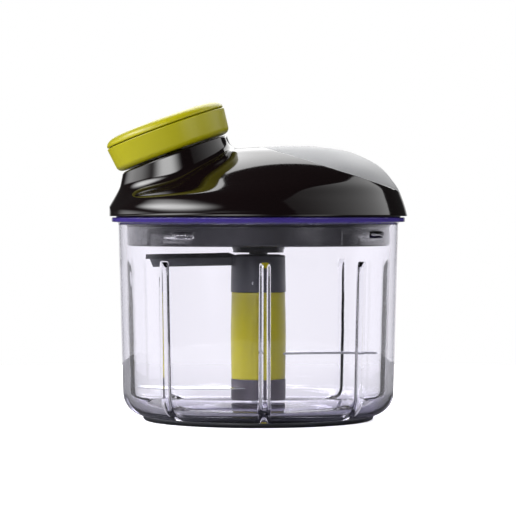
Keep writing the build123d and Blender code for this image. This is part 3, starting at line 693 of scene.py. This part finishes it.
@dataclass
class BladeColumn:
    """Hubs, sleeve, blades and paddle arm that turn on the spindle."""

    radius: float = 12.7
    edge: float = 0.4
    bore: float = 8.5
    socket: float = 6.4
    key_reach: float = 1.4
    key_width: float = 2.4

    def build_lower_hub(self) -> None:
        """Hub under the sleeve."""
        low, high = levels("lower_hub")
        outline = rounded([(self.bore, low, 0), (self.radius, low, self.edge),
                           (self.radius, high, 0.15), (self.bore, high, 0)], 4)
        finish_piece(turned(outline), "lower_hub", "lower_hub_cover", "column", Finish.LOWER_HUB)

    def build_sleeve(self) -> None:
        """Sleeve with a slight crown."""
        low, high = levels("column_sleeve")
        side = [(self.radius - 0.2 + 0.35 * sin(pi * i / 10), low + 0.3 + (high - low - 0.6) * i / 10)
                for i in range(11)]
        end = self.radius - 0.5
        outline = [(self.bore, low), (end, low), *side, (end, high), (self.bore, high)]
        finish_piece(turned(outline), "column_sleeve", "lime_sleeve", "column", Finish.SLEEVE)

    def build_upper_hub(self) -> None:
        """Hub with the keyed socket that takes the drive shaft."""
        low, high = levels("upper_hub")
        socket_floor = levels("column_core")[1]
        outline = rounded([
            (self.bore, low, 0), (self.radius + 0.15, low, 0.2), (self.radius - 0.15, high - 0.9, 0.3),
            (self.radius - 0.45, high - 0.45, 0.2), (self.radius - 3.2, high, 0.4), (self.socket, high, 0.3),
            (self.socket, socket_floor, 0), (self.bore, socket_floor, 0),
        ], 4)
        bm = turned(outline, 144)
        for vert in bm.verts:
            radius = hypot(vert.co.x, vert.co.y)
            in_key = abs(vert.co.x) < self.key_width / 2 and abs(radius - self.socket) < 0.4
            if in_key and vert.co.z < high:
                vert.co.y += self.key_reach if vert.co.y > 0 else -self.key_reach
        finish_piece(bm, "upper_hub", "upper_hub_cover", "column", Finish.HUB)

    def build(self) -> None:
        """Builds the turned pieces and dresses the rest."""
        self.build_lower_hub()
        self.build_sleeve()
        self.build_upper_hub()
        for node, name, finish, sharp in (
            ("paddle", "paddle_arm", Finish.PADDLE, 15),
            ("lower_blade", "blade_low", Finish.BLADE, 20),
            ("upper_blade", "blade_high", Finish.BLADE, 20),
            ("hub_pin", "cross_pin", Finish.STEEL, 32),
            ("column_core", "core_tube", Finish.HUB, 32),
            ("column_bush", "core_bush", Finish.BEARING, 32),
        ):
            smooth_copy(node, name, "column", finish, sharp)


# Lid

@dataclass
class LidForm:
    """Outside of the lid: a lopsided dome and a tilted neck that melt into each other."""

    seat_gap: float = 0.5
    neck_reach: float = 38.9
    neck_rise: float = 29
    neck_radius: float = 25.7
    foot_rise: float = 5.4
    foot_left: float = 66
    foot_right: float = 3
    foot_depth: float = 29
    flare: float = 6.5
    front_flare: float = 14
    flare_share: float = 0.62
    flare_soft: float = 0.25
    blend: float = 4
    blend_inset: float = 5
    blend_fade: float = 0.6
    slope_step: float = 0.3
    rim_edge: float = 0.6
    rim_share: float = 0.9997
    neck_start: float = 0.955
    neck_shares: Point = (-4, 1.6)
    columns: int = 224
    rows: int = 110
    samples: int = 260
    row_crowd: float = 1.2
    halvings: int = 36
    blend_halvings: int = 30
    # Height, then reach to the left, to the right and to the front, as shares of height and radius
    sections: tuple[tuple[float, float, float, float], ...] = (
        (1, -0.130, 0.400, 0.130),
        (0.988, -0.030, 0.420, 0.260),
        (0.95, 0.185, 0.554, 0.404),
        (0.87, 0.295, 0.677, 0.541),
        (0.76, 0.395, 0.781, 0.671),
        (0.61, 0.520, 0.864, 0.794),
        (0.50, 0.605, 0.905, 0.859),
        (0.42, 0.690, 0.932, 0.902),
        (0.36, 0.785, 0.947, 0.928),
        (0.30, 0.885, 0.958, 0.950),
        (0.21, 0.950, 0.974, 0.972),
        (0.13, 0.982, 0.986, 0.986),
        (0.06, 0.994, 0.995, 0.995),
        (0, 1, 1, 1),
    )

    def __post_init__(self) -> None:
        """Takes the lid's size and the neck's tilt from the frame."""
        self.bottom = levels("bowl")[1] + self.seat_gap
        self.radius = reach_of("lid_shell")
        self.height = levels("palm_grip")[1] - self.bottom
        pull = next(joint for joint in frame["joints"] if joint["name"] == "handle_pull")
        self.tilt = asin(-pull["axis"][0])
        self.neck_z = self.bottom + self.neck_rise
        depths = np.array([(1 - share[0]) ** 0.5 for share in self.sections])
        self.curves = [natural_spline(depths, np.array([share[i] for share in self.sections]))
                       for i in (1, 2, 3)]

    def place(self) -> Matrix:
        """Moves a piece that is turned about the upright axis onto the neck."""
        return (Matrix.Translation((-self.neck_reach, 0, self.neck_z))
                @ Matrix.Rotation(-self.tilt, 4, "Y"))

    def dome(self, x: Array, y: Array) -> Array:
        """Height of the dome over points of the plan."""
        low, high = np.zeros_like(x), np.ones_like(x)
        for _ in range(self.halvings):
            middle = (low + high) / 2
            left, right, front = (curve(middle) * self.radius for curve in self.curves)
            reach = ((x - (right - left) / 2) / ((right + left) / 2)) ** 2 + (y / front) ** 2
            low, high = np.where(reach > 1, middle, low), np.where(reach > 1, high, middle)
        return self.bottom + self.height * (1 - low ** 2)

    def neck_section(self, share: Array) -> tuple[Array, ...]:
        """Centre, reaches, level and tilt of the neck's section at a share of its height."""
        def between(foot: float, top: float) -> Array:
            """Value between the foot and the top."""
            return foot + (top - foot) * share
        half = self.neck_radius * cos(self.tilt)
        low = np.maximum(self.flare_share - share, 0)
        soft = low + self.flare_soft
        left = between(-self.foot_left, -self.neck_reach - half) - self.flare * low ** 2 / soft
        right = between(-self.foot_right, -self.neck_reach + half)
        return ((left + right) / 2,
                (right - left) / 2,
                between(self.foot_depth, self.neck_radius) + self.front_flare * low ** 2 / soft,
                between(self.bottom + self.foot_rise, self.neck_z),
                between(0, self.neck_radius * sin(self.tilt)))

    def neck(self, x: Array, y: Array) -> Array:
        """Height of the neck's side over points of the plan."""
        low, high = (np.full_like(x, share) for share in self.neck_shares)
        for _ in range(self.halvings):
            middle = (low + high) / 2
            centre, along, across, _level, _lean = self.neck_section(middle)
            reach = ((x - centre) / along) ** 2 + (y / across) ** 2
            low, high = np.where(reach > 1, low, middle), np.where(reach > 1, middle, high)
        centre, along, _across, level, lean = self.neck_section(low)
        return level + lean * (x - centre) / along

    def height_at(self, x: Array, y: Array) -> Array:
        """Height of the joined surface over points of the plan."""
        step = self.slope_step
        heights, scales = [], []
        for form in (self.dome, self.neck):
            slope_x = (form(x + step, y) - form(x - step, y)) / (2 * step)
            slope_y = (form(x, y + step) - form(x, y - step)) / (2 * step)
            heights.append(form(x, y))
            scales.append(1 / np.sqrt(1 + slope_x ** 2 + slope_y ** 2))
        low = np.maximum(*heights)
        high = low + self.blend * 2
        inset = np.clip((self.radius - np.hypot(x, y)) / self.blend_inset, 0.02, 1)
        blend = self.blend * inset ** self.blend_fade
        for _ in range(self.blend_halvings):
            middle = (low + high) / 2
            first, second = ((middle - height) * scale for height, scale in zip(heights, scales))
            soft = np.maximum(blend - np.abs(first - second), 0)
            away = np.minimum(first, second) - soft ** 2 / (4 * blend)
            low, high = np.where(away < 0, middle, low), np.where(away < 0, high, middle)
        return low

    def turns(self) -> Array:
        """Angles of the columns."""
        return np.linspace(0, 2 * pi, self.columns, endpoint=False)

    def wall_rings(self) -> list[Array]:
        """Rings down the outside, evenly spaced along each column, from the neck's edge to the rim."""
        turn = self.turns()
        centre, along, across, _level, _lean = map(float, self.neck_section(np.array(self.neck_start)))
        start = np.stack([centre + along * np.cos(turn), across * np.sin(turn)], 1)
        end = np.stack([self.radius * np.cos(turn), self.radius * np.sin(turn)], 1) * self.rim_share
        share = (0.5 - 0.5 * np.cos(np.linspace(0, pi, self.samples)))[:, None, None]
        plan = start + (end - start) * share
        height = self.height_at(plan[..., 0].ravel(), plan[..., 1].ravel()).reshape(plan.shape[:2])
        height = np.maximum(height, self.bottom + self.rim_edge)
        height[-1] = self.bottom + self.rim_edge
        points = np.concatenate([plan, height[..., None]], 2)
        steps = np.linalg.norm(np.diff(points, axis=0), axis=2)
        travel = np.concatenate([np.zeros((1, self.columns)), np.cumsum(steps, 0)])
        spread = np.linspace(0, 1, self.rows) ** self.row_crowd
        rings = np.empty((self.rows, self.columns, 3))
        for column in range(self.columns):
            wanted = spread * travel[-1, column]
            for axis in range(3):
                rings[:, column, axis] = np.interp(wanted, travel[:, column], points[:, column, axis])
        return list(rings)

    def neck_ring(self, radius: float, depth: float) -> Array:
        """Ring about the pull axis at a depth under the neck's top."""
        turn = self.turns()
        place = self.place()
        return np.array([place @ Vector((radius * cos(t), radius * sin(t), -depth)) for t in turn])

    def rim_ring(self, radius: float, height: float) -> Array:
        """Level ring about the bowl's axis."""
        turn = self.turns()
        return np.stack([radius * np.cos(turn), radius * np.sin(turn), np.full_like(turn, height)], 1)


@dataclass
class Lid:
    """Lid shell, palm grip, skirt with its channels, seal and the drive inside."""

    form: LidForm
    wall: float = 2.4
    grip_sink: float = 0.16
    grip_tuck: float = 0.8
    grip_wall: float = 1.2
    lip_radius: float = 0.4
    grip_left: float = -5
    crease_left: float = 126.6
    crease_slope: float = -0.317
    skirt_radius: float = 61
    skirt_edge: float = 1
    skirt_wall: float = 2.5
    plate: float = 2.5
    post_bore: float = 8
    post_radius: float = 9.5
    post_height: float = 16
    groove_depth: float = 1.3
    channel_depth: float = 0.9
    unlock_turn: float = radians(15)
    channel_half: float = 5.3
    channel_rise: float = 1.55

    def __post_init__(self) -> None:
        """Takes the levels of the skirt from the frame."""
        self.skirt_bottom = levels("lid_base")[0]
        self.rim = levels("bowl")[1]
        self.lug_z = self.rim - LUG_DROP
        self.seal_low, self.seal_high = levels("lid_seal")

    def build_shell(self) -> None:
        """Glossy shell from the hole in the neck out to the rim."""
        form = self.form
        edge = form.neck_radius
        top = [form.neck_ring(radius, depth) for radius, depth in (
            (6.65, 2.2), (6.65, 1.3), (9.1, 1.25), (9.1, 0.1), (9.3, 0), (edge - 6, 0), (edge - 1, 0),
            (edge - 0.5, 0.08), (edge - 0.15, 0.3), (edge + 0.05, 0.65))]
        rim = [form.rim_ring(form.radius - inset, form.bottom + rise)
               for inset, rise in ((0, 0.4), (0, 0.2), (0.06, 0.06), (0.2, 0), (2.6, 0))]
        bm = loft_rings(top + form.wall_rings() + rim)
        self.cut_grip(bm, 0.25)
        upper = self.cut_grip(bm, 0)
        bmesh.ops.delete(bm, geom=upper, context="FACES")
        self.roll_lip(bm)
        shell = finish_piece(bm, "lid_shell", "gloss_shell", "lid", Finish.SHELL, weighted=False)
        thicken(shell, self.wall)

    def cut_grip(self, bm: Mesh, drop: float) -> list[bmesh.types.BMFace]:
        """Cuts the dome along the grip's slanting edge.

        Args:
            bm: Skin of the lid.
            drop: Distance of the cut under the edge.

        Returns:
            The faces above the cut.
        """
        level = self.crease_left - drop
        near = [face for face in bm.faces if all(vert.co.x > self.grip_left for vert in face.verts)]
        geom = near + list({edge for face in near for edge in face.edges})
        geom += list({vert for face in near for vert in face.verts})
        bmesh.ops.bisect_plane(bm, geom=geom, dist=1e-4, plane_co=(0, 0, level),
                               plane_no=Vector((-self.crease_slope, 0, 1)).normalized())
        return [face for face in bm.faces if min(vert.co.x for vert in face.verts) > self.grip_left
                and face.calc_center_median().z > level + self.crease_slope * face.calc_center_median().x]

    def roll_lip(self, bm: Mesh) -> None:
        """Rounds the shell's edge along the grip and turns it down under the grip."""
        face_up(bm)
        up = Vector((-self.crease_slope, 0, 1)).normalized()
        edges = [edge for edge in bm.edges if edge.is_boundary and all(
            abs(vert.co.z - self.crease_left - self.crease_slope * vert.co.x) < 0.01
            and vert.co.x > self.grip_left for vert in edge.verts)]
        column = bm.verts.layers.int.new("lip")
        starts = list({vert for edge in edges for vert in edge.verts})
        frames = []
        for i, vert in enumerate(starts):
            vert[column] = i
            normal = vert.normal.copy()
            frames.append((vert.co.copy(), normal, (up - normal * up.dot(normal)).normalized()))
        radius = self.lip_radius
        for along, down in ((0.5, 0.13), (0.87, 0.5), (1.0, 1.0), (1.0, 4.5)):
            verts, edges = grow(bm, edges)
            for vert in verts:
                place, normal, uphill = frames[vert[column]]
                vert.co = place + (uphill * along - normal * down) * radius

    def build_grip(self) -> None:
        """Soft palm grip: the part of the dome above the slanting edge, sunk a little."""
        bm = loft_rings(self.form.wall_rings())
        upper = set(self.cut_grip(bm, self.grip_tuck))
        bmesh.ops.delete(bm, geom=[face for face in bm.faces if face not in upper], context="FACES")
        face_up(bm)
        for vert in bm.verts:
            vert.co -= vert.normal * self.grip_sink
        grip = finish_piece(bm, "palm_grip", "palm_pad", "lid", Finish.GRIP, weighted=False)
        thicken(grip, self.grip_wall)

    def channel(self, angle: float, height: float) -> float:
        """Depth of a bayonet channel in the skirt at a place on it."""
        half = self.channel_half / self.skirt_radius
        away = off_centre(angle, LUG_TURN, LUG_COUNT)
        top = self.lug_z + self.channel_rise
        in_run = -half - self.unlock_turn < away < half and abs(height - self.lug_z) < self.channel_rise
        in_entry = -half - self.unlock_turn < away < half - self.unlock_turn and height < top
        return self.channel_depth if in_run or in_entry else 0

    def build_skirt(self) -> None:
        """Skirt, plate and bearing post, with channels pressed into the skirt's outside."""
        bottom, rim, lug_z, seat = self.skirt_bottom, self.rim, self.lug_z, reach_of("lid_base")
        radius, inside = self.skirt_radius, self.skirt_radius - self.skirt_wall
        outline = rounded([
            (self.post_bore, bottom, 0), (radius - 8, bottom, 0), (radius, bottom, self.skirt_edge),
            *((radius, lug_z + step, 0) for step in (-1.7, -1.45, 0, 1.45, 1.7)),
            (radius, self.seal_low, 0.2), (radius - self.groove_depth, self.seal_low, 0),
            (radius - self.groove_depth, self.seal_high, 0), (radius, self.seal_high, 0.2),
            (radius, rim, 0), (seat, rim, 0.3), (seat, rim + 2, 0.3), (inside, rim + 2, 0),
            (inside, bottom + self.plate, 0.8), (self.post_radius, bottom + self.plate, 0),
            (self.post_radius, bottom + self.post_height, 0), (self.post_bore, bottom + self.post_height, 0),
        ], 6)
        bm = turned(outline, 720)
        for vert in bm.verts:
            reach = hypot(vert.co.x, vert.co.y)
            if reach < radius - self.skirt_edge - 0.1 or vert.co.z > lug_z + 2:
                continue
            depth = self.channel(atan2(vert.co.y, vert.co.x), vert.co.z)
            depth = max(depth - (radius - reach), 0)
            vert.co.x *= (reach - depth) / reach
            vert.co.y *= (reach - depth) / reach
        finish_piece(bm, "lid_base", "lid_skirt", "lid", Finish.SKIRT)

    def build_seal(self) -> None:
        """Soft seal with a lip that presses on the bowl."""
        low, high = self.seal_low, self.seal_high
        outer, inner = reach_of("lid_seal"), self.skirt_radius - 1.2
        outline = rounded([(inner, low, 0.2), (outer - 0.4, low, 0.3), (outer, (low + high) / 2, 0.6),
                           (outer - 0.4, high, 0.3), (inner, high, 0.2)], 4)
        finish_piece(turned(outline, 256), "lid_seal", "rim_seal", "seal", Finish.RUBBER)

    def build_winding(self) -> None:
        """Turns of cord on the drum."""
        low, high = levels("cord_winding")
        outer, count = reach_of("cord_winding"), 4
        pitch = (high - low) / count
        coil = sorted(((outer - 1 + cos(a) * 0.98, low + (turn + 0.5) * pitch - sin(a) * pitch * 0.48)
                       for turn in range(count) for a in (pi * (0.5 - i / 8) for i in range(9))),
                      key=lambda point: point[1])
        outline = [*coil, (outer - 2, high - 0.1), (outer - 2, low + 0.1)]
        finish_piece(turned(outline, 96), "cord_winding", "drum_winding", "spool", Finish.CORD)

    def build(self) -> None:
        """Builds the shell, the grip, the skirt and what they hold."""
        self.build_shell()
        self.build_grip()
        self.build_skirt()
        self.build_seal()
        self.build_winding()
        for node, name, body, finish in (
            ("drive_bush", "shaft_bush", "lid", Finish.BEARING),
            ("return_spring", "recoil_spring", "lid", Finish.SPRING),
            ("spool_bridge", "bridge_plate", "lid", Finish.HUB),
            ("bridge_screws", "bridge_fasteners", "lid", Finish.STEEL),
            ("lid_screws", "shell_fasteners", "lid", Finish.STEEL),
            ("cord_guide", "neck_guide", "lid", Finish.BEARING),
            ("cord_lead", "inner_cord", "lid", Finish.CORD),
            ("drive_collar", "drive_head", "spool", Finish.COLLAR),
            ("drive_shaft", "drive_dog", "spool", Finish.COLLAR),
            ("cord_spool", "drum", "spool", Finish.BEARING),
            ("spool_screw", "drum_screw", "spool", Finish.STEEL),
        ):
            smooth_copy(node, name, body, finish)


# Pull handle

@dataclass
class PullHandle:
    """Round handle of a dish and a cap that close over the cord's knot."""

    form: LidForm
    gap: float = 0.8
    radius: float = 28.85
    draft: float = 1.4
    dish_height: float = 11.65
    dish_edge: float = 2.9
    dish_floor: float = 2.4
    seam: float = 0.5
    seam_depth: float = 1.65
    cap_height: float = 3.9
    cap_inset: float = 0.25
    cap_edge: float = 0.35
    flat_radius: float = 21.6
    crown: float = 0.35
    knot_height: float = 5
    cord_radius: float = 1.0
    cord_depth: float = 8.0

    def build_dish(self) -> None:
        """Lower half of the handle."""
        top = self.gap + self.dish_height
        step, floor = self.radius - self.seam_depth, self.gap + self.dish_floor
        outline = rounded([
            (1.4, self.gap - 2.2, 0), (2.4, self.gap - 2.2, 0.3), (4, self.gap, 0.3),
            (self.radius - self.draft, self.gap, self.dish_edge), (self.radius, top, 0.35),
            (step, top, 0), (step, top + self.seam, 0), (self.radius - 2.4, top + self.seam, 0),
            (self.radius - 3.6, floor, 1), (1.4, floor, 0),
        ], 10)
        finish_piece(turned(outline, 192), "handle_dish", "handle_lower", "handle", Finish.HANDLE,
                     self.form.place())

    def build_cap(self) -> None:
        """Upper half with its rolled shoulder and flat top."""
        bottom = self.gap + self.dish_height + self.seam
        outer = self.radius - self.cap_inset
        top = bottom + self.cap_height
        flat, edge = self.flat_radius, self.cap_edge
        shoulder = [(flat + (outer - flat) * sin(a), bottom + edge + (self.cap_height - edge) * cos(a))
                    for a in (pi / 2 * i / 16 for i in range(17))]
        face = [(radius, top + self.crown * (1 - (radius / flat) ** 2)) for radius in (0, 6, 12, 17, 20)]
        lip = self.radius - 2.9
        outline = face + shoulder + [
            (outer - 0.1, bottom + 0.1), (outer - edge, bottom), (lip, bottom), (lip, bottom - 2.8),
            (lip - 1.6, bottom - 2.8), (lip - 1.6, top - 2.4), (0, top - 2),
        ]
        finish_piece(turned(outline, 192), "handle_cap", "handle_upper", "handle", Finish.HANDLE,
                     self.form.place())

    def build_knot(self) -> None:
        """Overhand knot that keeps the cord in the dish."""
        low, high = self.gap + self.dish_floor, self.gap + self.dish_floor + self.knot_height
        outline = rounded([(0, low, 0), (3.3, low, 1.2), (2.7, (low + high) / 2, 0.8),
                           (3.3, high, 1.2), (0, high, 0)], 5)
        finish_piece(turned(outline, 48), "cord_knot", "end_knot", "handle", Finish.CORD, self.form.place())

    def build_cord(self) -> None:
        """Pull cord from inside the neck up to the dish's floor, baked in place on no body."""
        top, place = self.gap + self.dish_floor, self.form.place()
        side = [(self.cord_radius, level) for level in np.linspace(-self.cord_depth, top, 25)]
        outline = [(0, -self.cord_depth), *side, (0, top)]
        cord = finish_piece(turned(outline, 24), "pull_cord", "pull_line", "handle", Finish.CORD, place,
                            weighted=False)
        cord.parent = None
        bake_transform(cord)

    def build(self) -> None:
        """Builds the handle and its cord."""
        self.build_dish()
        self.build_cap()
        self.build_knot()
        self.build_cord()


# Studio

class Lamp(Enum):
    """Soft boxes: direction from the front and over the table, size at a metre, radiance, fade."""

    RIGHT = (78, 34, 1.9, 0.82, 1.8, 0.9)
    BACK = (172, 35, 0.9, 0.8, 2.9, 0)

    def hang(self) -> None:
        """Makes the area light, which may fade out along its width."""
        azimuth, elevation, width, height, radiance, fade = self.value
        turn, rise = radians(azimuth), radians(elevation)
        towards = Vector((sin(turn) * cos(rise), -cos(turn) * cos(rise), sin(rise)))
        data = bpy.data.lights.new(self.name.lower(), "AREA")
        data.shape = "RECTANGLE"
        data.size, data.size_y = width, height
        data.energy = radiance * pi * width * height
        if fade:
            data.use_nodes = True
            graph = Graph(data.node_tree)
            spot = graph.node("ShaderNodeNewGeometry").outputs["Parametric"]
            across = graph.node("ShaderNodeSeparateXYZ", {0: spot}).outputs["X"]
            strength = graph.spread(across, target=(1 - fade, 1.0), easing="SMOOTHSTEP")
            glow = graph.node("ShaderNodeEmission", {"Strength": strength})
            graph.node("ShaderNodeOutputLight", {"Surface": glow.outputs["Emission"]})
        lamp = add_object(self.name.lower(), data)
        lamp.location = towards + Vector((0, 0, 0.1))
        lamp.rotation_mode = "QUATERNION"
        lamp.rotation_quaternion = towards.to_track_quat("Z", "Y")
        lamp.visible_camera = False


class Glow(Enum):
    """Soft patches of light in the surroundings: direction in degrees, its spread, radiance."""

    LEFT_NECK = (-24, 15, 36, 10, 10.0)
    LEFT_FOOT = (-82, 36, 54, 18, 10.5)
    LEFT_LOW = (-96, 9, 50, 9, 3.0)
    RIGHT_LOW = (44, 9, 28, 9, 4.0)

    def strength(self, graph: Graph, angles: Socket) -> Socket:
        """Adds the patch to the world's nodes and returns its strength."""
        azimuth, elevation, width, height, radiance = self.value
        away = graph.vector("SUBTRACT", angles, (radians(azimuth), radians(elevation), 0))["Vector"]
        share = graph.vector("DIVIDE", away, (radians(width), radians(height), 1))["Vector"]
        reach = graph.vector("LENGTH", share)["Value"]
        return graph.spread(reach, (1.0, 0.2), (0.0, radiance), "SMOOTHSTEP")


@dataclass
class Studio:
    """Pale floor, white surroundings, soft boxes and the camera of the photograph."""

    distance: float = 1.2
    eye: float = 0.0948
    focal_px: float = 2575.0
    frame_px: float = 516.0
    axis_px: Point = (258.3, 215.8)
    floor_radius: float = 0.45
    floor_near: str = "#5c5c5e"
    floor_seen: str = "#f8f8f9"
    floor_glow: Point = (0.03, 0.075)
    floor_fill: float = 1.0
    floor_through: float = 0.75
    floor_bounced: float = 0.25
    fill: float = 0.27
    fill_lean: tuple[float, float, float] = (-0.65, -0.25, -0.6)
    surround: float = 0.03
    behind: float = 1.2
    behind_edge: Point = (-0.1, 0.3)
    backdrop: float = 0.8
    backdrop_edge: Point = (0.93, 0.99)

    def build_camera(self) -> None:
        """Camera at the photograph's height and distance, tipped down to its framing."""
        data = bpy.data.cameras.new("camera")
        data.sensor_width = 36
        data.lens = data.sensor_width * self.focal_px / self.frame_px
        data.clip_start, data.clip_end = 0.01, 50
        camera = add_object("camera", data)
        half = self.frame_px / 2
        pitch = atan2(half - self.axis_px[1], self.focal_px)
        yaw = atan2(self.axis_px[0] - half, self.focal_px)
        camera.location = (0, -self.distance, self.eye)
        camera.rotation_euler = (pi / 2 - pitch, 0, yaw)
        bpy.context.scene.camera = camera

    def build_floor(self) -> None:
        """Pale floor that fades into the surroundings."""
        bm = bmesh.new()
        bmesh.ops.create_circle(bm, cap_ends=True, segments=96, radius=self.floor_radius)
        material, graph = new_material("pale floor")
        seen = graph.path("Is Camera Ray")
        share = graph.spread(graph.straight(), target=(self.floor_bounced, self.floor_through))
        pale = graph.number("MULTIPLY_ADD", graph.path("Is Transmission Ray"), share, seen)
        away = graph.vector("LENGTH", graph.place())["Value"]
        fade = graph.spread(away, self.floor_glow, easing="SMOOTHSTEP")
        level = graph.number("MULTIPLY_ADD", graph.path("Is Diffuse Ray"), self.floor_fill, seen)
        graph.node("ShaderNodeOutputMaterial", graph.principled({
            "Base Color": graph.mix_colour(pale, self.floor_near, self.floor_seen), "Roughness": 0.8,
            "Emission Color": (1, 1, 1, 1), "Emission Strength": graph.number("MULTIPLY", fade, level)}))
        mesh_object(bm, "floor", material)

    def build_world(self) -> None:
        """White behind the chopper, even dim light on it and dark surroundings in its gloss."""
        world = bpy.data.worlds.new("studio")
        bpy.context.scene.world = world
        world.use_nodes = True
        graph = Graph(world.node_tree)
        direction = graph.place("Generated")
        ahead = graph.vector("DOT_PRODUCT", direction, (0.0, 1.0, 0.0))["Value"]
        backdrop = graph.spread(ahead, self.backdrop_edge, (self.surround, self.backdrop), "SMOOTHSTEP")
        lean = graph.vector("DOT_PRODUCT", direction, self.fill_lean)["Value"]
        soft = graph.spread(lean, (-1.0, 1.0), (0.0, self.fill * 2))
        even = graph.mix(graph.path("Is Diffuse Ray"), backdrop, soft)
        bent = graph.spread(ahead, self.behind_edge, (self.surround * 5, self.behind))
        behind = graph.mix(graph.straight(), bent, self.behind)
        lit = graph.mix(graph.path("Is Transmission Ray"), even, behind)
        parts = graph.node("ShaderNodeSeparateXYZ", {0: direction}).outputs
        azimuth = graph.number("ARCTAN2", parts["X"], graph.number("MULTIPLY", parts["Y"], -1.0))
        elevation = graph.number("ARCSINE", parts["Z"])
        angles = graph.node("ShaderNodeCombineXYZ", {"X": azimuth, "Y": elevation}).outputs["Vector"]
        for glow in Glow:
            lit = graph.number("ADD", lit, glow.strength(graph, angles))
        strength = graph.mix(graph.path("Is Camera Ray"), lit, 1.0)
        light = graph.node("ShaderNodeBackground", {"Color": (1, 1, 1, 1), "Strength": strength})
        graph.node("ShaderNodeOutputWorld", {"Surface": light.outputs["Background"]})

    def build(self) -> None:
        """Builds the stage round the object."""
        self.build_camera()
        self.build_floor()
        self.build_world()
        for lamp in Lamp:
            lamp.hang()
        bpy.context.scene.view_settings.view_transform = "Standard"


def main() -> None:
    """Builds the studio and every sub-assembly."""
    logging.basicConfig(level=logging.INFO, format="%(message)s")
    Studio().build()
    form = LidForm()
    for part in (Bowl(), BladeColumn(), Lid(form), PullHandle(form)):
        part.build()
        log.info("built %s", type(part).__name__)


if __name__ == "__main__":
    main()
